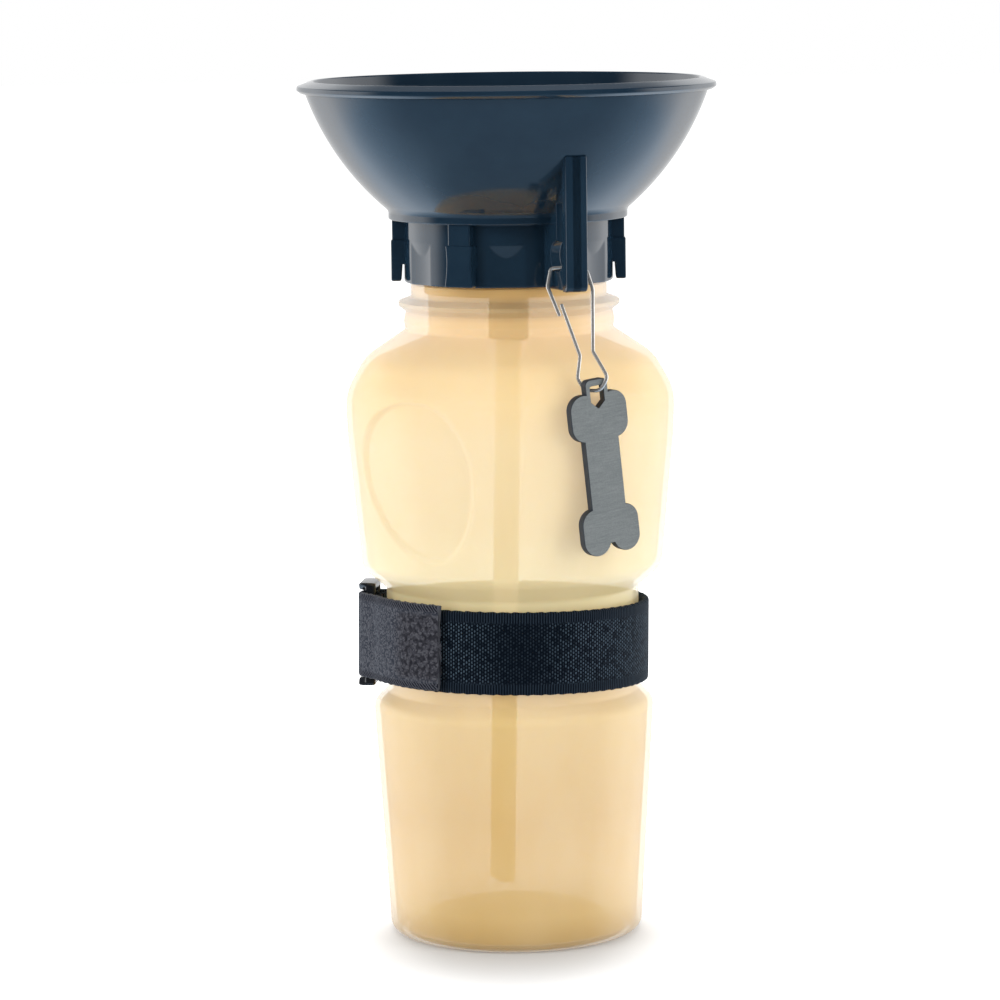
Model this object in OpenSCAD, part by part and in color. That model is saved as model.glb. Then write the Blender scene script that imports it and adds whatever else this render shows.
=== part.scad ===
// Dog travel water bottle: a squeeze bottle with a screw-on drinking bowl.
// Squeezing sends water up the dip tube, past the valve and into the bowl; letting go draws it back.
// Millimetres, +Z up, origin on the bottle's axis at the table. Azimuth 0 is the front (-Y), 90 is +X.

/* [Bottle] */
// Radius of the foot, where the taper would meet the table
foot_r = 31.9; // [29:0.1:34]
// Radius of the lower body at its top
lower_r = 35.5; // [34.5:0.1:37]
// Height at which the lower body ends and the hand-strap waist begins
lower_top = 59.2; // [50:0.1:61]
// Radius of the waist that the strap sits in
waist_r = 31.9; // [30:0.1:32.5]
// Height of the waist's upper end
waist_top = 88.7; // [87.5:0.1:90]
// Radius of the upper body at its lower end
upper_low_r = 37.9; // [36:0.1:39]
// Largest radius of the upper body
upper_r = 41.3; // [40:0.1:41.6]
// Height at which the shoulder starts to close
shoulder_z = 138; // [132:0.1:139]
// Height of the foot of the neck
neck_foot_z = 153.8; // [152:0.1:155]
// Wall of the bottle
bottle_wall = 1.4; // [1.2:0.05:1.8]
// Height of the hollow under the foot
push_up = 3; // [1:0.1:5]
// Depth of the two thumb hollows
thumb_depth = 1; // [0.6:0.05:1.1]
// Azimuth of the front thumb hollow
thumb_az = -37; // [-60:1:-20]
// Width of a thumb hollow
thumb_w = 34.4; // [24:0.1:35]
// Height of a thumb hollow
thumb_h = 41.4; // [30:0.1:42]
// How much broader a thumb hollow is above its middle than below it
thumb_egg = 0.25; // [0:0.01:0.3]
// Lean of a thumb hollow, in degrees
thumb_lean = 21; // [0:1:24]

/* [Neck] */
// Outside radius of the neck behind its thread
neck_r = 22.9; // [22:0.1:23.2]
// Wall of the neck
neck_wall = 1.6; // [1.5:0.05:1.8]
// Radius of the plain band under the collar
neck_band_r = 24.6; // [24:0.1:25.2]
// Radius of the transfer ring on the neck
ring_r = 27.8; // [26.5:0.1:29]
// Height of the transfer ring's middle
ring_z = 160.4; // [159:0.1:161]
// Top of the neck
neck_top = 180.5; // [178:0.1:180.6]
// Advance of the thread in one turn
thread_pitch = 4.5; // [4:0.1:5]
// Turns of each thread
thread_turns = 1.1; // [0.8:0.1:1.3]

/* [Bowl] */
// Radius of the bowl's rim
bowl_r = 52.5; // [50:0.1:56]
// Overall height
bowl_top = 216.4; // [212:0.1:222]
// Wall of the bowl
bowl_wall = 2; // [1.6:0.1:2.4]
// Radius of the curve of the bowl's side
bowl_curve = 67.5; // [62:0.5:90]
// Height of the collar's lower edge
collar_z = 165.8; // [165.4:0.1:167]
// Height of the collar's upper edge, where the bowl begins
collar_top = 182.9; // [182.6:0.1:184]
// Outside radius of the collar
collar_r = 26.2; // [25.7:0.1:26.8]
// How far the shelf at the bowl's foot stands out from the collar
shelf_out = 3.8; // [3.4:0.1:4.4]
// How far the grip lugs stand out from the collar
lug_out = 3.2; // [2.4:0.1:3.5]
// Azimuth of the front lug and of the two rear ones, from the front and from the back
lug_az = 25; // [18:1:34]
// Height over which the lower end of a lug stands free of the collar
lug_free = 4.5; // [3:0.1:6]

/* [Hanging tab] */
// Azimuth of the tab
tab_az = 22.3; // [15:0.1:30]
// Outside radius of the tab's upright
tab_r = 43.7; // [43.2:0.1:44.5]
// Thickness of the upright
tab_t = 2.9; // [2:0.1:3.4]
// Width of the upright
tab_w = 5.6; // [5:0.1:6]
// Height of the upright's top
tab_top = 198.8; // [196:0.1:200]
// Thickness of the web that carries the upright
web_t = 2.6; // [2:0.1:2.6]
// Radius of the keyhole's round end
key_r = 3.8; // [3.4:0.1:3.8]
// Width of the keyhole's slot
key_w = 3.6; // [3:0.1:3.8]

/* [Water way] */
// Outside radius of the dip tube
tube_r = 3.2; // [2.8:0.1:3.6]
// Wall of the dip tube
tube_wall = 0.8; // [0.6:0.05:1]
// Height of the tube's lower end above the table
tube_foot = 12; // [8:0.5:14]
// Lean of the tube, in degrees
tube_lean = 1.3; // [0:0.1:1.6]
// Sunken height of the insert's lower face
insert_z = 163; // [162.5:0.1:163.5]
// Section radius of the seal rings
seal_r = 1.05; // [0.9:0.05:1.1]
// Radius of the strainer
strainer_r = 13; // [11:0.1:14]

/* [Hand strap] */
// Width of the strap
strap_w = 20.6; // [19:0.1:21]
// Thickness of the strap
strap_t = 1.5; // [1.3:0.05:1.6]
// Tilt of the strap, front up, in degrees
strap_tilt = 1.9; // [0:0.1:2.2]
// Tilt of the strap, buckle side up, in degrees
strap_roll = 0.9; // [0:0.1:1.2]
// Height of the strap's middle
strap_z = 75.1; // [74.6:0.1:76]
// Azimuth at which the folded tail ends
tail_az = -31; // [-40:1:-20]
// Width of the strap's tail
tail_w = 21.4; // [20:0.1:22]
// Height of the tail's middle above the strap's middle
tail_up = 1; // [0:0.1:1.2]
// Azimuth of the buckle ring's middle
buckle_az = -95; // [-102:1:-88]
// Height of the buckle ring's level bars
rail_h = 2; // [1.5:0.1:2.4]

/* [Clip and tag] */
// Diameter of the clip's wire
wire_d = 0.95; // [0.8:0.05:1.1]
// Lean of the clip out from the bottle, in degrees
clip_lean = 9; // [8.5:0.5:12]
// Thickness of the bone-shaped tag
tag_t = 2.3; // [2:0.1:2.5]
// Width of the tag's shaft
tag_shaft_w = 9.6; // [7:0.1:10.4]
// Length from the upper pair of lobes to the lower pair
tag_l = 32.3; // [26:0.1:33]

/* [Hidden] */

// Clearance of a close seat
seat_gap = 0.1;
eps = 0.01;
arc_step = 12;
$fn = 96;

// ---------- geometry helpers ----------
function unit(v) = v / norm(v);
function left_of(v) = [-v[1], v[0]];
// One corner [r, z, fillet] between its neighbours, as an arc of points
function corner(a, b, c) =
    let (u = unit([a[0] - b[0], a[1] - b[1]]),
         w = unit([c[0] - b[0], c[1] - b[1]]),
         half = acos(max(-1, min(1, u * w))) / 2,
         f = b[2],
         reach = f / tan(half),
         middle = [b[0], b[1]] + unit(u + w) * f / sin(half),
         p = [b[0], b[1]] + u * reach,
         q = [b[0], b[1]] + w * reach,
         start = atan2(p[1] - middle[1], p[0] - middle[0]),
         turn = atan2(q[1] - middle[1], q[0] - middle[0]) - start,
         sweep = turn > 180 ? turn - 360 : turn < -180 ? turn + 360 : turn,
         n = max(1, ceil(abs(sweep) / arc_step)))
    f < eps ? [[b[0], b[1]]]
            : [for (i = [0 : n]) middle + f * [cos(start + sweep * i / n), sin(start + sweep * i / n)]];
// A closed outline from corners, each with its own fillet
function outline(c) =
    let (n = len(c))
    [for (i = [0 : n - 1]) each corner(c[(i + n - 1) % n], c[i], c[(i + 1) % n])];
// A ribbon of thickness t along a flat path, without its first points or some spare ones at its end
function along(p, i) = unit(p[min(i + 1, len(p) - 1)] - p[max(i - 1, 0)]);
function ribbon(p, t, first = 0, spare = 0) = concat(
    [for (i = [first : len(p) - 1 - spare]) p[i] + left_of(along(p, i)) * t / 2],
    [for (i = [len(p) - 1 - spare : -1 : first]) p[i] - left_of(along(p, i)) * t / 2]);
// A point at an azimuth and radius
function at(az, r) = [r * sin(az), -r * cos(az)];
// A round wire swept along a path in space
function along3(p, i) = unit(p[min(i + 1, len(p) - 1)] - p[max(i - 1, 0)]);
module wire(p, d, sides = 10) {
    n = len(p);
    points = [for (i = [0 : n - 1])
        let (t = along3(p, i),
             side = unit(cross(t, [0, 1, 0])),
             up = cross(t, side))
        for (k = [0 : sides - 1]) p[i] + d / 2 * (side * cos(360 * k / sides) + up * sin(360 * k / sides))];
    faces = concat(
        [[for (k = [0 : sides - 1]) k]],
        [for (i = [0 : n - 2]) for (k = [0 : sides - 1])
            let (a = i * sides + k, b = i * sides + (k + 1) % sides) [a, a + sides, b + sides, b]],
        [[for (k = [sides - 1 : -1 : 0]) (n - 1) * sides + k]]);
    polyhedron(points, faces, convexity = 6);
}
// A flat path with its corners rounded, open at both ends
function open_path(c) = concat(
    [[c[0][0], c[0][1]]],
    [for (i = [1 : len(c) - 2]) each corner(c[i - 1], c[i], c[i + 1])],
    [[c[len(c) - 1][0], c[len(c) - 1][1]]]);
// A screw ridge: root and crest radii, lowest height, and the ridge's half heights at root and crest
module screw_ridge(root, crest, z0, root_h, crest_h, from) {
    steps = ceil(thread_turns * 36);
    points = [for (i = [0 : steps])
        let (a = from + 360 * thread_turns * i / steps,
             z = z0 + thread_pitch * thread_turns * i / steps,
             fade = min(1, 0.12 + i / 4, 0.12 + (steps - i) / 4),
             tip = root + (crest - root) * fade)
        each [[root * cos(a), root * sin(a), z - root_h],
              [tip * cos(a), tip * sin(a), z - crest_h],
              [tip * cos(a), tip * sin(a), z + crest_h],
              [root * cos(a), root * sin(a), z + root_h]]];
    flip = crest > root;
    sides = [for (i = [0 : steps - 1]) for (k = [0 : 3])
        let (a = 4 * i + k, b = 4 * i + (k + 1) % 4) flip ? [a, a + 4, b + 4, b] : [a, b, b + 4, a + 4]];
    ends = flip ? [[0, 1, 2, 3], [for (k = [3 : -1 : 0]) 4 * steps + k]]
                : [[3, 2, 1, 0], [for (k = [0 : 3]) 4 * steps + k]];
    polyhedron(points, concat(ends, sides), convexity = 6);
}

// ---------- bottle ----------
waist_low = lower_top + lower_r - waist_r - 0.4;
upper_low_z = waist_top + upper_low_r - waist_r - 1;
neck_bore_r = neck_r - neck_wall;
ledge_r = neck_bore_r - 1;
thumb_z = (upper_low_z + shoulder_z) / 2 + 2.5;
thread_low = collar_z + 4.6;

// The bottle's outer side from the foot to the neck, then back down its inside; in is the wall's inset
function side_corners(in) = [
    [foot_r - in, in, 3 - in / 2],
    [lower_r - in, lower_top - in / 3, 3.6 - in],
    [waist_r - in, waist_low - in / 3, 1.2 + in],
    [waist_r - in, waist_top + in / 3, 1.6 + in],
    [upper_low_r - in, upper_low_z + in / 2, 5 - in],
    [upper_r - in, (upper_low_z + shoulder_z) / 2 + 14, 60],
    [upper_r - in, shoulder_z, 12 - in],
    [upper_r - 4.9 - in * 0.9, shoulder_z + 8.8 - in * 0.6, 10 - in]];
function foot_corners(in) = [
    [0, push_up + in, 0],
    [foot_r - 9 - in, push_up + in, 3],
    [foot_r - 4.6 - in * 0.7, in, 1]];
neck_outside = [
    [26.1, neck_foot_z, 1],
    [26.5, neck_foot_z + 2, 2],
    [26, ring_z - 1.9, 0.4],
    [ring_r, ring_z - 0.5, 0.4],
    [ring_r, ring_z + 0.5, 0.4],
    [neck_band_r, ring_z + 1.7, 0.5],
    [neck_band_r, collar_z - 0.4, 0.3],
    [neck_r, collar_z - 0.1, 0],
    [neck_r, neck_top, 0.4]];
neck_inside = [
    [neck_bore_r, neck_top, 0.4],
    [neck_bore_r, insert_z, 0],
    [ledge_r, insert_z, 0.3],
    [ledge_r, neck_foot_z - 1.6, 2]];
function backwards(l) = [for (i = [len(l) - 1 : -1 : 0]) l[i]];
shell_corners = concat(foot_corners(0), side_corners(0), neck_outside, neck_inside,
                       backwards(side_corners(bottle_wall)), backwards(foot_corners(bottle_wall)));
// The oval through which a thumb hollow is sunk, as a bar along -Y
module thumb_bar(az) {
    rotate([0, 0, az]) translate([0, -upper_r / 2, thumb_z]) rotate([90, 0, 0]) rotate([0, 0, thumb_lean])
        linear_extrude(height = upper_r)
            polygon([for (a = [0 : 7.5 : 352.5])
                [thumb_w / 2 * cos(a) * (1 + thumb_egg * sin(a)), thumb_h / 2 * sin(a)]]);
}
module bottle_shell() {
    rotate_extrude() polygon([for (p = outline(shell_corners)) [max(0, p[0]), p[1]]]);
}
module sunk_shell() {
    rotate_extrude() polygon([for (p = outline(shell_corners))
        if (p[1] > waist_top + 2 && p[1] < neck_foot_z - 0.4 && p[0] > 26.6) [p[0] - thumb_depth, p[1]]]);
}
module bottle_body() {
    color("#e8c27a") {
        difference() {
            bottle_shell();
            for (az = [thumb_az, thumb_az + 180]) thumb_bar(az);
        }
        for (az = [thumb_az, thumb_az + 180]) intersection() {
            sunk_shell();
            thumb_bar(az);
        }
        screw_ridge(neck_r - 0.3, neck_r + 0.9, thread_low, 0.9, 0.35, 0);
    }
}

// ---------- water way ----------
insert_r = neck_bore_r - seat_gap;
insert_h = 6.5;
plate_t = 2;
socket_r = tube_r + 1.8;
socket_l = 12;
socket_bore_r = tube_r + 0.05;
seat_r = 2.4;
seal_ring_r = neck_bore_r - seat_gap - seal_r;
insert_seal_z = insert_z + 3.4;
function groove(z) = [
    [seal_ring_r - seal_r - 0.05, z - seal_r - 0.05],
    [seal_ring_r - seal_r - 0.05, z + seal_r + 0.05],
    [neck_r, z + seal_r + 0.05],
    [neck_r, z - seal_r - 0.05]];
// What hangs below the insert leans towards the bottle's buckle side
module leaning() {
    translate([0, 0, insert_z]) rotate([0, tube_lean, 0]) children();
}
module tube_insert() {
    color("#23272c") difference() {
        union() {
            rotate_extrude() difference() {
                polygon([[0, insert_z], [insert_r, insert_z], [insert_r, insert_z + insert_h],
                         [insert_r - 3.4, insert_z + insert_h], [insert_r - 3.4, insert_z + plate_t + 0.8],
                         [7, insert_z + plate_t], [4.4, insert_z + plate_t], [4, insert_z + plate_t + 0.5],
                         [0, insert_z + plate_t + 0.5]]);
                polygon(groove(insert_seal_z));
            }
            leaning() translate([0, 0, -socket_l]) cylinder(h = socket_l + 0.5, r = socket_r, $fn = 64);
        }
        leaning() translate([0, 0, -socket_l - 1]) cylinder(h = socket_l, r = socket_bore_r, $fn = 48);
        translate([0, 0, insert_z - 3]) cylinder(h = 9, r = seat_r, $fn = 48);
    }
}
module seal_ring(z) {
    translate([0, 0, z]) rotate_extrude() translate([seal_ring_r, 0]) circle(r = seal_r, $fn = 32);
}
module insert_seal() { color("#9aa3a8") seal_ring(insert_seal_z); }
module dip_tube() {
    top = -1 - seat_gap;
    length = (insert_z - tube_foot) / cos(tube_lean) + top;
    color("#d9cfae") leaning() difference() {
        translate([0, 0, top - length]) cylinder(h = length, r = tube_r, $fn = 48);
        translate([0, 0, top - length - 1]) cylinder(h = length + 2, r = tube_r - tube_wall, $fn = 48);
        translate([0, 0, top - length]) rotate([0, 25, 0]) translate([-10, -10, -10]) cube([20, 20, 10]);
    }
}

// ---------- drinking bowl ----------
floor_z = collar_top + 0.7;
roof_z = neck_top + 0.4;
collar_bore_r = neck_r + 1.3;
skirt_r = neck_bore_r - 0.4;
skirt_low = insert_z + insert_h + 1;
neck_seal_z = skirt_low + 4;
rim_z = bowl_top - 3.4;
wall_top = [bowl_r - 2.2, rim_z];
shelf_r = collar_r + shelf_out;
shelf_low = collar_top - 1.3;
wall_low = [shelf_r + 0.3, collar_top + 1.1];
// Points of an arc of radius r from p to q that bulges to the right of the way there
function bulge(p, q, r, n = 14) =
    let (mid = (p + q) / 2,
         d = norm(q - p),
         c = mid + left_of(unit(q - p)) * sqrt(r * r - d * d / 4),
         a = atan2(p[1] - c[1], p[0] - c[0]),
         turn = atan2(q[1] - c[1], q[0] - c[0]) - a,
         sweep = turn > 180 ? turn - 360 : turn < -180 ? turn + 360 : turn)
    [for (i = [0 : n]) c + r * [cos(a + sweep * i / n), sin(a + sweep * i / n)]];
wall_outside = bulge(wall_low, wall_top, bowl_curve);
// The wall's points moved towards the bowl's axis by d, square to the curve
function wall_inset(d) = [for (i = [0 : len(wall_outside) - 1])
    wall_outside[i] + left_of(along(wall_outside, i)) * d];
lip = corner([bowl_r - 0.9, rim_z + 0.3, 0], [bowl_r, rim_z + 1, 0.6], [bowl_r - 0.2, rim_z + 2, 0]);
lip_top = concat(
    corner([bowl_r, rim_z + 1, 0], [bowl_r - 0.15, rim_z + 2, 0.5], [bowl_r - 4, bowl_top, 0]),
    corner([bowl_r - 1, rim_z + 2.3, 0], [bowl_r - 4.2, bowl_top, 0.5], [bowl_r - 4.5, rim_z, 0]));
drain_r = strainer_r - 4;
stem_r = 2.6;
stem_low = insert_z + plate_t + 4;
recess_d = 1;
module bowl_section() {
    inner = backwards(wall_inset(bowl_wall));
    polygon(concat(
        [[0, roof_z], [collar_bore_r, roof_z], [collar_bore_r, collar_z + 0.3],
         [collar_bore_r + 0.3, collar_z]],
        corner([collar_bore_r, collar_z, 0], [collar_r, collar_z, 0.5], [collar_r, collar_top, 0]),
        corner([collar_r, collar_z, 0], [collar_r, shelf_low, 0.5], [shelf_r, shelf_low, 0]),
        corner([collar_r, shelf_low, 0], [shelf_r, shelf_low, 0.4], [shelf_r, shelf_low + 1.7, 0]),
        corner([shelf_r, shelf_low, 0], [shelf_r, shelf_low + 1.7, 0.6], wall_low),
        wall_outside, lip, lip_top,
        [for (p = inner) if (p[1] > floor_z + 1.4 && p[1] < bowl_top - 1.2) p],
        [[collar_r + 0.6, floor_z + 0.9], [collar_r - 1.8, floor_z + 0.35],
         [strainer_r + 0.1, floor_z], [strainer_r + 0.1, floor_z - recess_d], [0, floor_z - recess_d]]));
    // the skirt that dips into the neck, with the groove for its seal
    difference() {
        translate([skirt_r - 3, skirt_low]) square([3, roof_z - skirt_low + 0.2]);
        polygon(groove(neck_seal_z));
    }
    // the stem that carries the valve plug
    translate([0, stem_low]) square([stem_r, roof_z - stem_low + 0.2]);
}
// Azimuths round the collar: the hanging tab, then the lugs, then the tab again
lug_places = [tab_az, 90, 180 - lug_az, 180 + lug_az, 270, 360 - lug_az, tab_az + 360];
// A grip lug hangs from the foot shelf: a narrow block over a broader one with hollow flanks
module grip_lug() {
    split = collar_z + 10.7;
    deep = collar_r - 1;
    difference() {
        rotate([90, 0, 0]) {
            translate([0, 0, deep]) linear_extrude(height = lug_out + 1)
                polygon([[-3.2, collar_z + 0.3], [3.2, collar_z + 0.3], [3.8, collar_z + 1],
                         [3.3, collar_z + 6.5], [3.55, split - 0.3], [3.3, split], [-3.3, split],
                         [-3.55, split - 0.3], [-3.3, collar_z + 6.5], [-3.8, collar_z + 1]]);
            translate([-2.95, split - 0.5, deep]) cube([5.9, shelf_low - split + 0.9, lug_out + 0.7]);
        }
        rotate_extrude() polygon([
            [collar_r - 0.3, collar_z - 1], [collar_r + 0.65, collar_z - 1],
            [collar_r + 0.35, collar_z + lug_free], [collar_r - 0.3, collar_z + lug_free]]);
    }
}
// The shallow finger scallops sunk between the lugs, each closed above by a sloping roof
module scallops() {
    cutter = 30;
    deep = 0.75;
    top = collar_z + 10.6;
    steep = 4.4;
    intersection() {
        for (i = [0 : 5])
            rotate([0, 0, (lug_places[i] + lug_places[i + 1]) / 2])
                translate([0, -collar_r - cutter + deep, collar_z - 1])
                    cylinder(h = 12, r = cutter, $fn = 128);
        rotate_extrude() polygon([
            [collar_r - 2, collar_z - 2], [collar_r + 2, collar_z - 2],
            [collar_r + 2, top + 2 * steep], [collar_r - 2, top - 2 * steep]]);
    }
}
key_z = collar_z + 8.2;
key_at = tab_r - tab_t - 3.1 - key_r;
// The tab's side view, from radius r out to its upright's face; its top lies half way into the bowl's wall
module tab_side(r) {
    half_wall = wall_inset(bowl_wall / 2);
    polygon(concat(
        [[r, collar_z]],
        corner([r, collar_z, 0], [tab_r, collar_z, 1.4], [tab_r, tab_top, 0]), [[tab_r, tab_top]],
        [for (p = backwards(half_wall)) if (p[1] < tab_top && p[0] > r + 0.2) p],
        r < collar_r ? [[collar_r - 0.6, collar_top - 0.3], [r, collar_top - 0.5]]
                     : [[r, interp(r, half_wall)]]));
}
// Height at which a rising list of points reaches radius r
function interp(r, l, i = 0) =
    i >= len(l) - 2 || l[i + 1][0] >= r
        ? l[i][1] + (l[i + 1][1] - l[i][1]) * (r - l[i][0]) / (l[i + 1][0] - l[i][0])
        : interp(r, l, i + 1);
module hanging_tab() {
    rotate([0, 0, tab_az - 90]) rotate([90, 0, 0]) difference() {
        union() {
            translate([0, 0, -web_t / 2]) linear_extrude(height = web_t) tab_side(collar_r - 1);
            translate([0, 0, -tab_w / 2]) linear_extrude(height = tab_w) tab_side(tab_r - tab_t);
        }
        translate([key_at, key_z, -tab_w]) cylinder(h = 2 * tab_w, r = key_r, $fn = 64);
        translate([key_at + key_r - key_w, key_z, -tab_w]) cube([key_w, 13, 2 * tab_w]);
    }
}
module drinking_bowl() {
    color("#141d29") {
        difference() {
            rotate_extrude() bowl_section();
            scallops();
            for (i = [0 : 5]) rotate([0, 0, 60 * i]) translate([drain_r - 2.4, 0, roof_z - 1])
                cylinder(h = 6, r = 1.9, $fn = 32);
        }
        for (i = [1 : 5]) rotate([0, 0, lug_places[i]]) grip_lug();
        hanging_tab();
        screw_ridge(collar_bore_r + 0.3, neck_r + 0.3, thread_low - thread_pitch / 2, 0.9, 0.35, 0);
    }
}
module neck_seal() { color("#9aa3a8") seal_ring(neck_seal_z); }
plug_r = stem_r + 1.6;
plug_h = 8.4;
// A soft plug pushed over the stem; its foot closes the insert's seat when the bowl is screwed home
module valve_plug() {
    low = insert_z + plate_t + 0.6;
    top = low + plug_h;
    color("#9aa3a8") rotate_extrude() polygon([
        [0, low - 0.9], [seat_r - 0.5, low - 0.9], [seat_r - 0.2, low], [plug_r - 0.3, low],
        [plug_r, low + 0.4], [plug_r, top - 0.4], [plug_r - 0.3, top], [stem_r + 0.02, top],
        [stem_r + 0.02, stem_low - 0.02], [0, stem_low - 0.02]]);
}
// A low dome with slots, seated in the bowl's floor
dome_h = 2.6;
dome_rim = 1.4;
dome_slot = 1.5;
module strainer_cap() {
    seat = floor_z - recess_d + 0.02;
    slots = 10;
    foot = strainer_r - dome_rim;
    color("#1b2531") difference() {
        rotate_extrude() polygon(concat(
            [[0, seat + 0.9], [foot - 1.8, seat + 0.9], [foot - 0.8, seat], [strainer_r, seat],
             [strainer_r, seat + recess_d]],
            [for (a = [0 : 10 : 90]) [foot * cos(a), seat + recess_d + dome_h * sin(a)]]));
        for (i = [0 : slots - 1]) rotate([0, 0, 360 / slots * i])
            translate([strainer_r * 0.32, -dome_slot / 2, seat + 0.5])
                cube([strainer_r * 0.44, dome_slot, 2 * dome_h]);
        rotate_extrude() polygon([[0, seat + 0.5], [foot - 2, seat + 0.5], [foot - 3.2, seat + 1.6],
                                  [0, seat + dome_h - 0.3]]);
    }
}

// ---------- hand strap ----------
band_gap = 1;
band_r = waist_r + band_gap + strap_t / 2;
patch_t = 0.7;
tail_r = band_r + strap_t + patch_t + 0.1;
sewn_r = band_r + strap_t + 0.06;
// Section of the ring's upright bars, along the strap and across it
bar_w = 2.4;
bar_t = 2.6;
bar_round = 0.7;
buckle_l = 12.6;
buckle_in = band_r + strap_t / 2 + seat_gap;
buckle_mid = buckle_in + bar_t / 2;
bar_half = (buckle_l - bar_w) / 2;
// Azimuths of the two upright bars from the ring's middle, and their distance from the bottle's axis
bar_az = atan(bar_half / buckle_mid);
bar_out = norm([bar_half, buckle_mid]);
fold_r = norm([bar_w / 2 - bar_round, bar_t / 2 - bar_round]) + bar_round + seat_gap + strap_t / 2;
front_az = buckle_az + bar_az;
rear_az = buckle_az - bar_az;
// The level bars stand out as far as the folded strap, and the ring's window takes strap and tail
rail_t = fold_r + (strap_t + bar_t) / 2 - 0.1;
window_low = min(-strap_w / 2, tail_up - tail_w / 2) - seat_gap;
window_top = max(strap_w / 2, tail_up + tail_w / 2) + seat_gap;
buckle_h = window_top - window_low + 2 * rail_h;
fold_steps = 10;
tail_steps = 20;
// Half a turn round an upright bar
function fold(az, way) = [for (i = [0 : fold_steps])
    let (turn = az - 90 + way * 180 * i / fold_steps) at(az, bar_out) + fold_r * [cos(turn), sin(turn)]];
// From 1 to 0 as s goes from 0 to 1, level at both ends
function settle(s) = s <= 0 ? 1 : s >= 1 ? 0 : (1 + cos(180 * s)) / 2;
// Radius of the strap some degrees past a bar, where it comes down from its fold to lie on r
function settled(r, past) = r + (bar_out + fold_r - r) * settle((past - 1) / 15);
strap_path = concat(
    [for (t = [30 : -2 : 2]) at(rear_az - t, settled(sewn_r, t))],
    fold(rear_az, 1),
    [for (a = [4 : 4 : 338]) at(rear_az - a, band_r)],
    backwards(fold(front_az, -1)),
    [for (i = [1 : tail_steps])
        let (t = (tail_az - front_az) * i / tail_steps) at(front_az + t, settled(tail_r, t))]);
// The tail is wider than the band from the middle of the front fold on
tail_from = len(strap_path) - 1 - tail_steps - fold_steps / 2;
module strap_place() {
    translate([0, 0, strap_z]) rotate([-strap_tilt, strap_roll, 0]) children();
}
module strap_band() {
    color("#1a1d22") strap_place() {
        translate([0, 0, -strap_w / 2]) linear_extrude(height = strap_w)
            polygon(ribbon(strap_path, strap_t, spare = len(strap_path) - 2 - tail_from));
        translate([0, 0, tail_up - tail_w / 2]) linear_extrude(height = tail_w)
            polygon(ribbon(strap_path, strap_t, first = tail_from - 1));
    }
}
module hook_patch() {
    r = band_r + strap_t / 2 + patch_t / 2 + 0.05;
    color("#24272c") strap_place() translate([0, 0, -strap_w / 2 + 0.8])
        linear_extrude(height = strap_w - 1.6)
            polygon(ribbon([for (a = [0 : 2 : 18]) at(tail_az - 1 - a, r)], patch_t));
}
// Rows of thread that close the loop round the ring's rear bar
module strap_stitches() {
    thread = [0.5, 0.4, 1.6];
    color("#2b2e34") strap_place() for (row = [0 : 2]) for (k = [-4 : 4])
        rotate([0, 0, rear_az - 18 - 3.5 * row])
            translate([0, -sewn_r - (strap_t + thread[1]) / 2 - 0.02, k * 2.1]) rotate([0, 20, 0])
                cube(thread, center = true);
}
module rounded_bar(w, t, l) {
    r = bar_round;
    linear_extrude(height = l, center = true) polygon(outline([
        [-w / 2, -t / 2, r], [w / 2, -t / 2, r], [w / 2, t / 2, r], [-w / 2, t / 2, r]]));
}
module buckle_ring() {
    color("#101216") strap_place() rotate([0, 0, buckle_az])
        translate([0, -buckle_mid, (window_low + window_top) / 2]) {
            for (s = [-1, 1]) translate([s * bar_half, 0, 0]) rounded_bar(bar_w, bar_t, buckle_h);
            for (s = [-1, 1]) translate([0, (bar_t - rail_t - 0.1) / 2, s * (buckle_h - rail_h) / 2])
                rotate([0, 90, 0]) rounded_bar(rail_h, rail_t, buckle_l - 0.1);
        }
}

// ---------- clip and tag ----------
clip_az = 70;
pivot = concat(at(tab_az, key_at), [key_z - key_r + wire_d / 2 + 0.1]);
module clip_place() {
    translate(pivot) rotate([0, 0, clip_az - 90]) rotate([-clip_lean, 0, 0]) children();
}
// The clip's own plane: x along the wire's top, y up, and each corner's bend radius
clip_corners = [
    [-0.1, -11.3, 0], [-3.5, -4.3, 1.8], [-2.85, 0.2, 1], [6, 0.9, 3], [8.15, -4.6, 3],
    [8.9, -19.9, 2], [12.9, -26, 1.8], [11.2, -29.4, 2.2], [7, -29.4, 2.5], [5.2, -26.5, 1.5],
    [5.55, -22, 0]];
gate_corners = [[5.56, -21.8, 0], [5.6, -21, 1.2], [0.3, -8.7, 0]];
function upright(p) = [for (c = p) [c[0], 0, c[1]]];
module clip_wire() { color("#c9cdd2") clip_place() wire(upright(open_path(clip_corners)), wire_d); }
module clip_gate() { color("#c9cdd2") clip_place() wire(upright(open_path(gate_corners)), wire_d); }

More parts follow.
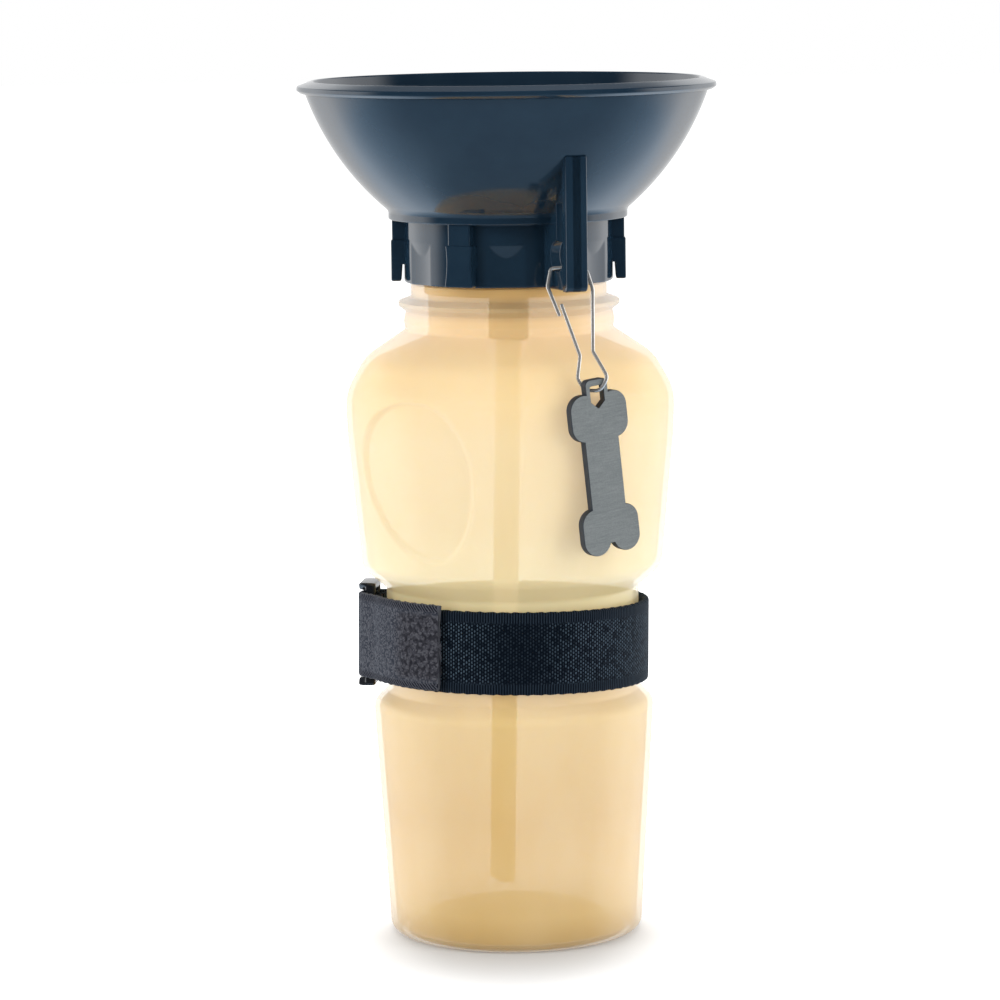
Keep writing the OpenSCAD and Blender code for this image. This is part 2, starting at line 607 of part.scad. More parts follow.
tag_az = 30;
tag_lean = 6.4;
tag_hang = [9.7, 0, -29.35];
lobe_r = 3.8;
lobe_x = 4.15;
lobe_low = 4.3;
lobe_up = 4;
module tag_outline() {
    slot_w = 3.8;
    arch = 2.9;
    eye_w = 6.2;
    eye_r = 1.4;
    difference() {
        union() {
            for (s = [-1, 1]) for (y = [-lobe_low, -lobe_low - tag_l + lobe_up]) {
                translate([s * lobe_x, y]) circle(r = lobe_r, $fn = 64);
                translate([s * lobe_x, y - lobe_up]) circle(r = lobe_r, $fn = 64);
                translate([s * lobe_x - lobe_r, y - lobe_up]) square([2 * lobe_r, lobe_up]);
            }
            translate([-tag_shaft_w / 2, -lobe_low - tag_l + 2]) square([tag_shaft_w, tag_l - 4]);
            translate([-1, -lobe_low - tag_l - 1.2]) square([2, tag_l + 2.4]);
            translate([-eye_w / 2, -lobe_low]) square([eye_w, lobe_low + arch - eye_r]);
            translate([-eye_w / 2 + eye_r, -lobe_low]) square([eye_w - 2 * eye_r, lobe_low + arch]);
            for (s = [-1, 1]) translate([s * (eye_w / 2 - eye_r), arch - eye_r]) circle(r = eye_r, $fn = 32);
        }
        polygon([[-slot_w / 2, 1.3], [-slot_w / 2, -2.6], [0, -lobe_low], [slot_w / 2, -2.6],
                 [slot_w / 2, 1.3]]);
    }
}
// A point of the clip's plane in the bottle's frame
function on_clip(v) =
    let (z = clip_az - 90, s = v[2] * sin(clip_lean))
    [pivot[0] + v[0] * cos(z) - s * sin(z), pivot[1] + v[0] * sin(z) + s * cos(z),
     pivot[2] + v[2] * cos(clip_lean)];
module bone_tag() {
    color("#6c7174") translate(on_clip(tag_hang)) rotate([0, 0, tag_az]) rotate([90, 0, 0])
        rotate([0, 0, tag_lean]) translate([0, 0, -tag_t / 2]) linear_extrude(height = tag_t) tag_outline();
}

bottle_body();
tube_insert();
insert_seal();
dip_tube();
neck_seal();
drinking_bowl();
valve_plug();
strainer_cap();
strap_band();
hook_patch();
strap_stitches();
buckle_ring();
clip_wire();
clip_gate();
bone_tag();
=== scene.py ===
from math import ceil, cos, degrees, pi, radians, sin, sqrt, tan

import bmesh
import bpy
import numpy as np
from mathutils import Matrix, Vector
from mathutils.geometry import tessellate_polygon


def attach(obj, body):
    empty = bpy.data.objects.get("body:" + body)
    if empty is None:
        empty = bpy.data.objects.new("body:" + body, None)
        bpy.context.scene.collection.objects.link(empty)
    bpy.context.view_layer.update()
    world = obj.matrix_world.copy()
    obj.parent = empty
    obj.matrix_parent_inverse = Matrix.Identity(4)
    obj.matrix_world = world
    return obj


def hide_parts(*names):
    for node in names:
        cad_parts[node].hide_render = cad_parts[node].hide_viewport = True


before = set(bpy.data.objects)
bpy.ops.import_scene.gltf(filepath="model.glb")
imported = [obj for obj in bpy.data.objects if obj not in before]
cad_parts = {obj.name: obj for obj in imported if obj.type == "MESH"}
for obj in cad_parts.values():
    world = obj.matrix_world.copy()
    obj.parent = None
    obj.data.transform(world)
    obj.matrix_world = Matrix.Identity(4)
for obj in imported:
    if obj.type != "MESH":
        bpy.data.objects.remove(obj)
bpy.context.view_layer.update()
scene = bpy.context.scene
scene.view_settings.view_transform = "Standard"
mm = 0.001  # every size below is in millimetres until a mesh is made
pointGap = 1e-7  # metres within which the points of one pole are joined


# Shapes

def unit(v):
    return v / np.linalg.norm(v)


# Share of the way, eased at both ends
def smooth(share):
    return share * share * (3 - 2 * share)


# A pair of coordinates turned by an angle
def swing(a, b, angle):
    return a * cos(angle) - b * sin(angle), a * sin(angle) + b * cos(angle)


# Points turned about the upright axis
def spun(points, angle):
    x, y = swing(points[..., 0], points[..., 1], angle)
    return np.stack([x, y, points[..., 2]], -1)


# The shorter arc about a middle, from one spoke to another
def sweptArc(middle, radius, first, last, steps=None, stepDeg=7):
    start = np.arctan2(first[1], first[0])
    sweep = (np.arctan2(last[1], last[0]) - start + pi) % (2 * pi) - pi
    steps = steps or max(1, ceil(abs(degrees(sweep)) / stepDeg))
    angles = start + sweep * np.linspace(0, 1, steps + 1)
    return middle + radius * np.stack([np.cos(angles), np.sin(angles)], 1)


# One corner (across, up, fillet) between its neighbours, as the points of its arc
def cornerArc(before, here, after, stepDeg):
    point = np.array(here[:2], float)
    back = unit(np.array(before[:2], float) - point)
    ahead = unit(np.array(after[:2], float) - point)
    if here[2] < 0.01:
        return point[None]
    half = np.arccos(np.clip(back @ ahead, -1, 1)) / 2
    middle = point + unit(back + ahead) * here[2] / np.sin(half)
    first = point + back * here[2] / np.tan(half) - middle
    last = point + ahead * here[2] / np.tan(half) - middle
    return sweptArc(middle, here[2], first, last, stepDeg=stepDeg)


# An outline with its corners rounded; an open one keeps its two ends as they are
def rounded(corners, closed=False, stepDeg=7):
    count = len(corners)
    pieces = []
    for i, here in enumerate(corners):
        if not closed and i in (0, count - 1):
            pieces.append(np.array([here[:2]], float))
        else:
            pieces.append(cornerArc(corners[i - 1], here, corners[(i + 1) % count], stepDeg))
    return np.concatenate(pieces)


# Points of an arc about a middle, from one angle to another, in degrees
def arc(middle, radius, fromDeg, toDeg, steps=12):
    angles = np.radians(np.linspace(fromDeg, toDeg, steps + 1))
    return np.array(middle, float) + radius * np.stack([np.cos(angles), np.sin(angles)], 1)


# Points of an arc of a given radius from p to q that bulges to the right of the way there
def bulge(p, q, radius, steps=30):
    p, q = np.array(p, float), np.array(q, float)
    way = unit(q - p)
    span = np.linalg.norm(q - p)
    middle = (p + q) / 2 + np.array([-way[1], way[0]]) * sqrt(radius * radius - span * span / 4)
    return sweptArc(middle, radius, p - middle, q - middle, steps)


# A rectangle about the origin with round corners, from its half width and half height
def roundedBox(wide, high, radius, steps):
    return np.concatenate([
        arc((sx * (wide - radius), sy * (high - radius)), radius, start, start + 90, steps)
        for sx, sy, start in ((1, 1, 0), (-1, 1, 90), (-1, -1, 180), (1, -1, 270))])


# A line with points added so that no stretch is longer than step: a number, or a function of the midpoint
def refined(line, step):
    pieces = []
    for a, b in zip(line[:-1], line[1:]):
        size = step((a + b) / 2) if callable(step) else step
        count = max(1, ceil(np.linalg.norm(b - a) / size - 1e-6))
        pieces.append(a + (b - a) * (np.arange(count) / count)[:, None])
    return np.concatenate(pieces + [line[-1:]])


# The direction of a path at each of its points
def heading(path):
    ahead = np.gradient(path, axis=0)
    return ahead / np.linalg.norm(ahead, axis=1)[:, None]


# Joins a mesh's points that lie together, and may turn its faces outwards
def joinPoints(mesh, distance, outwards=False):
    work = bmesh.new()
    work.from_mesh(mesh)
    bmesh.ops.remove_doubles(work, verts=work.verts, dist=distance)
    if outwards:
        bmesh.ops.recalc_face_normals(work, faces=work.faces)
    work.to_mesh(mesh)
    work.free()


# A smooth object of a mesh, with its edges sharp where they bend by more than an angle
def asPiece(name, mesh, sharpDeg):
    mesh.polygons.foreach_set("use_smooth", np.ones(len(mesh.polygons), bool))
    mesh.set_sharp_from_angle(angle=radians(sharpDeg))
    piece = bpy.data.objects.new(name, mesh)
    scene.collection.objects.link(piece)
    return piece


# A mesh object from points in millimetres and faces of three or four corners
def solid(name, points, faces, sharpDeg=40):
    mesh = bpy.data.meshes.new(name)
    mesh.from_pydata((np.asarray(points) * mm).tolist(), [], faces)
    mesh.update()
    return asPiece(name, mesh, sharpDeg)


# The four-cornered faces of a grid of points; wrapped rows or columns join its last line to its first
def gridFaces(rows, columns, wrapRows, wrapColumns):
    high, wide = rows - (not wrapRows), columns - (not wrapColumns)
    i, j = np.meshgrid(np.arange(high), np.arange(wide), indexing="ij")
    below, beside = (i + 1) % rows, (j + 1) % columns
    return np.stack([i * columns + j, i * columns + beside,
                     below * columns + beside, below * columns + j], -1).reshape(-1, 4)


# A grid whose first and last line are drawn in to their own middles, so that its ends close in poles
def capped(grid):
    first, last = (np.broadcast_to(grid[k].mean(0), grid[k].shape)[None] for k in (0, -1))
    return np.concatenate([first, grid, last])


# A closed skin from a grid (rows, columns, 3) in millimetres. Its faces point outwards, by the sign of the
# volume that they enclose, and lines that are one single point are welded into a pole
def skin(name, grid, wrapRows=False, wrapColumns=True, uv=None, sharpDeg=40, poles=False):
    rows, columns = grid.shape[:2]
    faces = gridFaces(rows, columns, wrapRows, wrapColumns)
    points = grid.reshape(-1, 3) * mm
    a, b, c, d = (points[faces[:, k]] for k in range(4))
    volume = np.sum(a * (np.cross(b, c) + np.cross(c, d)))
    inward = volume < 0
    if inward:
        faces = faces[:, ::-1]
    mesh = bpy.data.meshes.new(name)
    mesh.vertices.add(len(points))
    mesh.vertices.foreach_set("co", points.ravel())
    mesh.loops.add(faces.size)
    mesh.loops.foreach_set("vertex_index", faces.astype(np.int32).ravel())
    mesh.polygons.add(len(faces))
    mesh.polygons.foreach_set("loop_start", np.arange(0, faces.size, 4, dtype=np.int32))
    mesh.update(calc_edges=True)
    if uv is not None:  # the map has one row and one column more than there are faces
        corners = np.stack([uv[:-1, :-1], uv[:-1, 1:], uv[1:, 1:], uv[1:, :-1]], 2).reshape(-1, 4, 2)
        layer = mesh.uv_layers.new(name="cloth")
        layer.data.foreach_set("uv", (corners[:, ::-1] if inward else corners).astype(np.float32).ravel())
    if poles:
        joinPoints(mesh, pointGap)
    return asPiece(name, mesh, sharpDeg)


# A profile (radius, height) turned about the axis: x = r sin a, y = -r cos a, so azimuth 0 faces the front
def turned(profile, columns=128, azimuths=None):
    around = np.arange(columns) * 2 * pi / columns if azimuths is None else radians(1) * azimuths
    r, z = profile[:, :1], profile[:, 1:2]
    return np.stack([r * np.sin(around), -r * np.cos(around), z + 0 * around], -1)


# Moves a turned grid's points towards the axis
def sink(grid, azimuths, depth):
    grid[..., 0] -= depth * np.sin(np.radians(azimuths))
    grid[..., 1] += depth * np.cos(np.radians(azimuths))


# A flat plate of outlines, the first its edge and the others holes, with its rims rounded by edge:
# the rim is a quarter round, a straight side and a quarter round carried along each outline
def plateParts(outlines, thickness, edge, turns=3):
    quarter = np.linspace(0, pi / 2, turns + 1)
    inset = np.concatenate([edge * (1 - np.sin(quarter)), edge * (1 - np.sin(quarter[::-1]))])
    height = thickness / 2 - edge * (1 - np.cos(quarter))
    height = np.concatenate([height, -height[::-1]])
    points, faces, caps, start = [], [], [], 0
    for hole, line in enumerate(outlines):
        line = np.asarray(line, float)
        area = np.sum(line[:, 0] * np.roll(line[:, 1], -1) - np.roll(line[:, 0], -1) * line[:, 1])
        if (area > 0) == bool(hole):
            line = line[::-1]
        after, before = np.roll(line, -1, 0) - line, line - np.roll(line, 1, 0)
        after /= np.linalg.norm(after, axis=1)[:, None]
        before /= np.linalg.norm(before, axis=1)[:, None]
        inward = np.stack([-(after + before)[:, 1], (after + before)[:, 0]], 1)
        inward /= np.maximum(np.sum(inward * inward, 1), 0.5)[:, None] / 2
        flat = line[None] + inward[None] * inset[:, None, None]
        rim = np.concatenate([flat, np.broadcast_to(height[:, None, None], flat.shape[:2] + (1,))], -1)
        quads = gridFaces(len(inset), len(line), False, True)[:, ::-1]
        faces += (quads + start).tolist()
        caps.append((rim[0], rim[-1], start, start + (len(inset) - 1) * len(line)))
        points.append(rim.reshape(-1, 3))
        start += rim.shape[0] * rim.shape[1]
    for side in (0, 1):
        lookup = np.concatenate([np.arange(len(c[side])) + c[2 + side] for c in caps])
        for tri in tessellate_polygon([[Vector((p[0], p[1], 0)) for p in c[side]] for c in caps]):
            corner = np.concatenate([c[side] for c in caps])[list(tri), :2]
            area = np.cross(corner[1] - corner[0], corner[2] - corner[0])
            tri = tri if (area > 0) == (side == 0) else tri[::-1]
            faces.append([int(lookup[t]) for t in tri])
    return np.concatenate(points), faces


# Shading that keeps flat faces flat beside their rounded rims
def evenShading(piece):
    mod = piece.modifiers.new("evenShading", "WEIGHTED_NORMAL")
    mod.mode = "FACE_AREA"
    mod.weight = 50
    mod.keep_sharp = True
    return piece


# Points given along three axes from a place
def placed(points, origin, across, up, out):
    return np.array(origin) + points[:, :1] * across + points[:, 1:2] * up + points[:, 2:] * out


# A round wire along a flat path, its ends domed: rings stand square to the path, in the path's plane
def wireGrid(path, diameter, sides=16, dome=0.6):
    ahead = heading(path)
    rings, between = 5, len(path) - 2
    turns = np.linspace(0, pi / 2, rings)
    rows = np.concatenate([np.repeat(0, rings), np.arange(between) + 1, np.repeat(between + 1, rings)])
    size = np.concatenate([np.cos(turns[::-1]), np.ones(between), np.cos(turns)]) * diameter / 2
    lift = np.sin(turns) * dome
    push = np.concatenate([-lift[::-1], np.zeros(between), lift]) * diameter / 2
    middle = path[rows] + ahead[rows] * push[:, None]
    side = np.stack([-ahead[rows][:, 1], ahead[rows][:, 0]], 1)
    around = np.arange(sides) * 2 * pi / sides
    inPlane = middle[:, None] + side[:, None] * (size[:, None] * np.cos(around))[..., None]
    return np.concatenate([inPlane, (size[:, None] * np.sin(around))[..., None]], -1)


# A CAD node's own form as a fresh mesh with its doubles merged, for small pieces whose shape is right
def mergedCopy(node, name, sharpDeg=32):
    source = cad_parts[node].data
    points = np.zeros(len(source.vertices) * 3)
    source.vertices.foreach_get("co", points)
    piece = solid(name, points.reshape(-1, 3) / mm, [list(p.vertices) for p in source.polygons], 180)
    joinPoints(piece.data, 10 * pointGap)
    piece.data.set_sharp_from_angle(angle=radians(sharpDeg))
    return piece


# Finishes

class Link:
    # A node's output; sums and products of links add their Math nodes
    def __init__(self, finish, socket):
        self.finish = finish
        self.socket = socket

    def __add__(self, other):
        return self.finish.math("ADD", self, other)

    def __sub__(self, other):
        return self.finish.math("SUBTRACT", self, other)

    def __rsub__(self, other):
        return self.finish.math("SUBTRACT", other, self)

    def __mul__(self, other):
        return self.finish.math("MULTIPLY", self, other)

    def __truediv__(self, other):
        return self.finish.math("DIVIDE", self, other)

    __radd__ = __add__
    __rmul__ = __mul__


class Finish:
    # A material or world being made: node() adds any node by its type, its settings and its inputs
    def __init__(self, name, owner=None):
        self.owner = owner or bpy.data.materials.new(name)
        self.owner.use_nodes = True
        self.tree = self.owner.node_tree
        self.tree.nodes.clear()

    def node(self, kind, settings=None, inputs=None, output=0):
        made = self.tree.nodes.new("ShaderNode" + kind)
        for key, value in (settings or {}).items():
            if key == "stops":
                ramp = made.color_ramp
                for i, (place, colour) in enumerate(value):
                    stop = ramp.elements[i] if i < 2 else ramp.elements.new(place)
                    stop.position = place
                    stop.color = (*colour, 1)
            else:
                setattr(made, key, value)
        for key, value in (inputs or {}).items():
            if isinstance(value, Link):
                self.tree.links.new(value.socket, made.inputs[key])
            elif isinstance(value, tuple) and len(value) == 3 and made.inputs[key].type == "RGBA":
                made.inputs[key].default_value = (*value, 1)
            else:
                made.inputs[key].default_value = value
        return Link(self, made.outputs[output]) if made.outputs else None

    def math(self, operation, a, b=0.0, clamp=False):
        return self.node("Math", {"operation": operation, "use_clamp": clamp}, {0: a, 1: b, 2: 0.0})

    def mix(self, factor, a, b):
        return self.node("Mix", {"data_type": "RGBA"}, {0: factor, 6: a, 7: b}, output=2)

    # 0 where the value is at low and 1 where it is at high, eased between the two
    def ease(self, value, low, high):
        return self.node("MapRange", {"interpolation_type": "SMOOTHSTEP"},
                         {"Value": value, "From Min": low, "From Max": high})

    def outputs(self, first, *others):
        return first, *(Link(self, first.socket.node.outputs[k]) for k in others)

    def axes(self, vector):
        return self.outputs(self.node("SeparateXYZ", {}, {0: vector}), 1, 2)

    # Is Camera Ray, Is Glossy Ray and Is Transmission Ray
    def rays(self):
        return self.outputs(self.node("LightPath"), "Is Glossy Ray", "Is Transmission Ray")

    def place(self, kind="Object"):
        return self.node("TexCoord", output=kind)

    def stretched(self, spot, *scale):
        return self.node("Mapping", {}, {"Vector": spot, "Scale": scale})

    def noise(self, spot, scale, detail, rough=0.5):
        return self.node("TexNoise", {}, {"Vector": spot, "Scale": scale, "Detail": detail,
                                          "Roughness": rough})

    def bump(self, height, distance, strength):
        return self.node("Bump", {}, {"Height": height, "Distance": distance, "Strength": strength})

    def surface(self, inputs, kind="BsdfPrincipled", sink="OutputMaterial"):
        shader = inputs if isinstance(inputs, Link) else self.node(kind, {}, inputs)
        self.node(sink, {}, {0: shader})
        return self.owner


# Puts a finish on a piece, which rides on a body and stands for CAD nodes; its slot is not used
def dress(piece, finish, body, slot, *nodes):
    piece.data.materials.clear()
    for one in finish if isinstance(finish, list) else [finish]:
        piece.data.materials.append(one)
    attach(piece, body)
    if nodes:
        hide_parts(*nodes)
    return piece


# Camera, light and floor

camera = {"lens": 156.816, "sensor": 36, "across": -2.898, "back": 1092, "height": 255.36,
          "pitch": 7.58, "roll": 0.73}


def addCamera():
    data = bpy.data.cameras.new("studioCamera")
    data.lens = camera["lens"]
    data.sensor_width = camera["sensor"]
    data.clip_end = 50
    pitch, roll = radians(camera["pitch"]), radians(camera["roll"])
    ahead = Vector((0, cos(pitch), -sin(pitch)))
    up = Vector((0, sin(pitch), cos(pitch)))
    right = Vector((1, 0, 0))
    across = right * cos(roll) - up * sin(roll)
    over = right * sin(roll) + up * cos(roll)
    spot = Vector((camera["across"], -camera["back"], camera["height"])) * mm
    holder = bpy.data.objects.new("studioCamera", data)
    scene.collection.objects.link(holder)
    rows = [[across[k], over[k], -ahead[k], spot[k]] for k in range(3)]
    holder.matrix_world = Matrix(rows + [[0, 0, 0, 1]])
    scene.camera = holder


lights = {  # places and sizes in metres
    "leftBox": {"place": (-0.75, -0.45, 0.30), "size": (0.5, 0.9), "watts": 5.6},
    "rightBox": {"place": (0.75, -0.45, 0.30), "size": (0.5, 0.9), "watts": 5.6},
    "backBox": {"place": (0, 0.55, 0.95), "size": (0.7, 0.5), "watts": 10.5},
}
lampTarget = (0, 0, 0.11)


def addLights():
    for name, box in lights.items():
        data = bpy.data.lights.new(name, "AREA")
        data.shape = "RECTANGLE"
        data.size, data.size_y = box["size"]
        data.energy = box["watts"]
        holder = bpy.data.objects.new(name, data)
        holder.visible_camera = False
        holder.visible_glossy = False
        scene.collection.objects.link(holder)
        spot = Vector(box["place"])
        aim = (Vector(lampTarget) - spot).to_track_quat("-Z", "Y")
        holder.matrix_world = Matrix.Translation(spot) @ aim.to_matrix().to_4x4()


sky = {
    "light": 0.70, "panel": 1.9, "ceiling": 0.3, "ground": 0.58, "groundFar": 1.4, "dark": 0.03,
    "cool": (0.55, 0.76, 1.0), "coolLoss": 0.75, "wallLoss": 0.5,
    # where each zone begins and is full, as a share of straight up (the first three) or straight back
    "lift": (0.3, 0.55), "dip": (-0.3, -0.55), "steep": (-0.8, -0.95), "panelZone": (-0.34, 0.06),
    "ceilingZone": (0.1, 0.7), "groundZone": (-0.45, 0.7), "wallZone": (0.55, 0.95), "coolZone": (0.1, 1.0),
}


# White to the eye, softer as a lamp. In mirrors the room is dim in front of the bottle and bright at its
# sides and back, fading straight behind it; the ceiling is dim, and the ground is a cool grey, paler at the
# back
def addWorld():
    world = bpy.data.worlds.new("studioWorld")
    scene.world = world
    f = Finish("", world)
    forth, over = f.axes(f.place("Generated"))[1:]
    lift, dip, steep = (f.ease(over, *sky[zone]) for zone in ("lift", "dip", "steep"))
    panel = f.ease(forth, *sky["panelZone"]) * sky["panel"] + sky["dark"]
    ceiling = f.ease(forth, *sky["ceilingZone"]) * sky["ceiling"] + sky["dark"]
    ground = f.ease(forth, *sky["groundZone"]) * (1 - steep) * sky["groundFar"] + sky["ground"]
    farWall = 1 - f.ease(forth, *sky["wallZone"]) * sky["wallLoss"]
    mirror = ((panel * (1 - lift) + ceiling * lift) * (1 - dip) + ground * dip) * farWall
    seen, glossy, through = f.rays()
    plain = sky["light"] + seen * (1 - sky["light"]) + through * (1 - sky["light"])
    strength = plain * (1 - glossy) + glossy * mirror
    cool = dip * glossy * (1 - f.ease(forth, *sky["coolZone"]) * sky["coolLoss"])
    f.surface({"Color": f.mix(cool, (1, 1, 1), sky["cool"]), "Strength": strength},
              "Background", "OutputWorld")


floor = {  # radii in millimetres, the last four values in metres
    "radius": 6000, "inner": 150, "paper": 0.56, "glowNear": 0.03, "glowFar": 0.85,
    "ahead": 0.012, "squash": 0.8, "shadeFrom": 0.014, "shadeTo": 0.068,
}


# Paper that glows to the eye except over an ellipse set ahead of the foot, where the glow fades out as a
# painted shadow and only its lit side and the real shadow are seen
def addFloor():
    ring = np.array([[0, 0], [floor["inner"], 0], [floor["radius"], 0]], float)
    sheet = skin("studioFloor", turned(ring, 64), poles=True)
    if sheet.data.polygons[0].normal.z < 0:
        sheet.data.flip_normals()
    f = Finish("floorPaper")
    seen, glossy, through = f.rays()
    paper = f.node("BsdfDiffuse", {}, {"Color": (floor["paper"],) * 3})
    x, y = f.axes(f.place())[:2]
    # The glow fades out over an ellipse pushed ahead of the foot: a painted shadow, cast forward
    ahead = (y + floor["ahead"]) * floor["squash"]
    paintedShadowFade = f.ease(f.math("SQRT", x * x + ahead * ahead), floor["shadeFrom"], floor["shadeTo"])
    tone = f.mix(paintedShadowFade, (floor["glowNear"],) * 3, (floor["glowFar"],) * 3)
    strength = f.math("ADD", seen + glossy, through, clamp=True)
    glow = f.node("Emission", {}, {"Color": tone, "Strength": strength})
    sheet.data.materials.append(f.surface(f.node("AddShader", {}, {0: paper, 1: glow})))
    sheet.visible_glossy = False


addCamera()
addLights()
addWorld()
addFloor()
print("stage: camera, light and floor")


# Bottle

bottle = {
    "foot": 31.9, "lower": 35.5, "lowerTop": 59.2, "waist": 31.9, "waistTop": 88.7, "upperLow": 37.9,
    "upper": 41.3, "shoulder": 138, "neckFoot": 153.8, "wall": 1.4, "pushUp": 3, "neck": 22.9, "bore": 21.3,
    "top": 180.5, "ring": 27.8, "ringHeight": 160.4, "band": 24.6, "seat": 163, "collarFoot": 165.8,
    "flatInset": 9, "rimInset": 4.6, "threadPitch": 4.5, "threadTurns": 1.1, "threadHigh": 0.9,
    "threadRoot": 0.9, "threadCrest": 0.35, "sunk": 0.3,
}
thumb = {
    "azimuth": -37, "width": 34.4, "height": 41.4, "egg": 0.25, "lean": 21, "depth": 1.0, "bevel": 1.5,
    "span": 34, "fineStep": 0.8, "coarseStep": 1.6,
}
thumbAzimuths = (thumb["azimuth"], thumb["azimuth"] + 180)
upperLowZ = bottle["waistTop"] + bottle["upperLow"] - bottle["waist"] - 1
thumbZ = (upperLowZ + bottle["shoulder"]) / 2 + 2.5
threadLow = bottle["collarFoot"] + 4.6


# The side from the foot to the neck, moved inwards by inset
def sideCorners(inset):
    b = bottle
    waistLow = b["lowerTop"] + b["lower"] - b["waist"] - 0.4
    return [
        (b["foot"] - inset, inset, 3 - inset / 2),
        (b["lower"] - inset, b["lowerTop"] - inset / 3, 3.6 - inset),
        (b["waist"] - inset, waistLow - inset / 3, 1.2 + inset),
        (b["waist"] - inset, b["waistTop"] + inset / 3, 1.6 + inset),
        (b["upperLow"] - inset, upperLowZ + inset / 2, 5 - inset),
        (b["upper"] - inset, (upperLowZ + b["shoulder"]) / 2 + 14, 60),
        (b["upper"] - inset, b["shoulder"], 12 - inset),
        (b["upper"] - 4.9 - inset * 0.9, b["shoulder"] + 8.8 - inset * 0.6, 10 - inset)]


def bottleProfile():
    b = bottle
    flat, rim = b["foot"] - b["flatInset"], b["foot"] - b["rimInset"]
    foot = [(0, b["pushUp"], 0), (flat, b["pushUp"], 3), (rim, 0, 1)]
    footIn = [(0, b["pushUp"] + b["wall"], 0), (flat - b["wall"], b["pushUp"] + b["wall"], 3),
              (rim - b["wall"] * 0.7, b["wall"], 1)]
    neckOut = [(26.1, b["neckFoot"], 1), (26.5, b["neckFoot"] + 2, 2), (26, b["ringHeight"] - 1.9, 0.4),
               (b["ring"], b["ringHeight"] - 0.5, 0.4), (b["ring"], b["ringHeight"] + 0.5, 0.4),
               (b["band"], b["ringHeight"] + 1.7, 0.5), (b["band"], b["collarFoot"] - 0.4, 0.3),
               (b["neck"], b["collarFoot"] - 0.1, 0.2), (b["neck"], b["top"], 0.4)]
    neckIn = [(b["bore"], b["top"], 0.4), (b["bore"], b["seat"], 0), (b["bore"] - 1, b["seat"], 0.3),
              (b["bore"] - 1, b["neckFoot"] - 1.6, 2)]
    corners = foot + sideCorners(0) + neckOut + neckIn + sideCorners(b["wall"])[::-1] + footIn[::-1]
    shoulderTop = b["shoulder"] + 10
    return refined(rounded(corners), lambda p: 0.6 if upperLowZ < p[1] < shoulderTop and p[0] > 35 else 1.8)


# How deep the thumb hollow at an azimuth sinks a point: an egg outline, leaning, whose edge is a soft bevel
def hollow(azimuths, r, z, azimuth):
    turn = (azimuths - azimuth + 180) % 360 - 180
    y, x = swing(z - thumbZ, r * np.sin(np.radians(turn)), radians(thumb["lean"]))
    high = y / (thumb["height"] / 2)
    wide = thumb["width"] / 2 * (1 + thumb["egg"] * np.clip(high, -1, 1))
    reach = np.sqrt((x / wide) ** 2 + high ** 2) + 1e-6
    inside = (1 - reach) / reach * np.sqrt(x * x + y * y)
    share = np.clip(inside / thumb["bevel"], 0, 1)
    return np.where((reach <= 1) & (np.abs(turn) < 60), thumb["depth"] * smooth(share), 0)


# A screw ridge: a four-sided profile that climbs as it turns, fading out at both ends
def ridgeGrid(root, crest, low):
    b = bottle
    share = np.linspace(0, 1, 110)
    turn = 2 * pi * b["threadTurns"] * share
    climb = low + b["threadPitch"] * b["threadTurns"] * share
    fade = np.clip(np.minimum(share, 1 - share) * 9, 0.02, 1)
    tip = root + (crest - root) * fade
    r = np.stack([root + 0 * tip, tip, tip, root + 0 * tip], 1)
    halves = np.array([-b["threadRoot"], -b["threadCrest"], b["threadCrest"], b["threadRoot"]])
    rise = climb[:, None] + halves * (0.2 + 0.8 * fade[:, None])
    return capped(np.stack([r * np.cos(turn)[:, None], r * np.sin(turn)[:, None], rise], -1))


# Pearly gold plastic, a little see-through: deeper gold low down and paler up the body, with painted light at
# the waist, a painted shadow at the neck ring and a painted glow
def pearlPlastic():
    f = Finish("pearlPlastic")
    spot = f.place()
    z = f.axes(spot)[2]
    height = z / (bottle["neckFoot"] * mm)
    # Colour by height up to the neck. The pale stop at 0.57, at the top of the waist, is painted light that
    # lifts the recessed waist's shade
    wall = f.node("ValToRGB", {"stops": [
        (0.0, (0.56, 0.38, 0.15)), (1.0, (0.88, 0.62, 0.29)), (0.06, (0.75, 0.53, 0.21)),
        (0.22, (0.68, 0.46, 0.155)), (0.38, (0.73, 0.525, 0.20)), (0.43, (0.76, 0.54, 0.23)),
        (0.57, (0.87, 0.77, 0.47)), (0.62, (0.84, 0.71, 0.42)), (0.70, (0.84, 0.68, 0.39)),
        (0.84, (0.88, 0.70, 0.40)), (0.93, (0.90, 0.66, 0.31))]}, {0: height})
    neck = f.mix(f.ease(z, 0.1535, 0.1640), wall, (0.84, 0.54, 0.20))
    # A painted shadow line: the colour darkens over the neck ring
    neckRingShadow = f.ease(f.math("ABSOLUTE", z - bottle["ringHeight"] * mm), 0.0036, 0.0010)
    tone = f.mix(neckRingShadow * 0.7, neck, (0.46, 0.36, 0.20))
    swirl = f.noise(f.stretched(spot, 1, 1, 0.45), 32, 3, 0.6)
    colour = f.mix(f.ease(swirl, 0.35, 0.75) * 0.16, tone, (0.93, 0.82, 0.60))
    grain = f.noise(spot, 900, 2, 0.6)
    rough = 0.27 + swirl * 0.10 + grain * 0.04
    waves = f.noise(spot, 60, 1, 0.4) + grain * 0.05
    # The emission is a painted glow: light shining through the wall, painted on in the plastic's own colour
    return f.surface({"Base Color": colour, "Roughness": rough, "IOR": 1.5, "Alpha": 0.45,
                      "Subsurface Weight": 0.2, "Subsurface Radius": (0.006, 0.004, 0.002),
                      "Subsurface Scale": 1.0, "Coat Weight": 0.35, "Coat Roughness": 0.06,
                      "Emission Color": colour, "Emission Strength": 0.07,
                      "Normal": f.bump(waves, 0.0002, 0.35)})


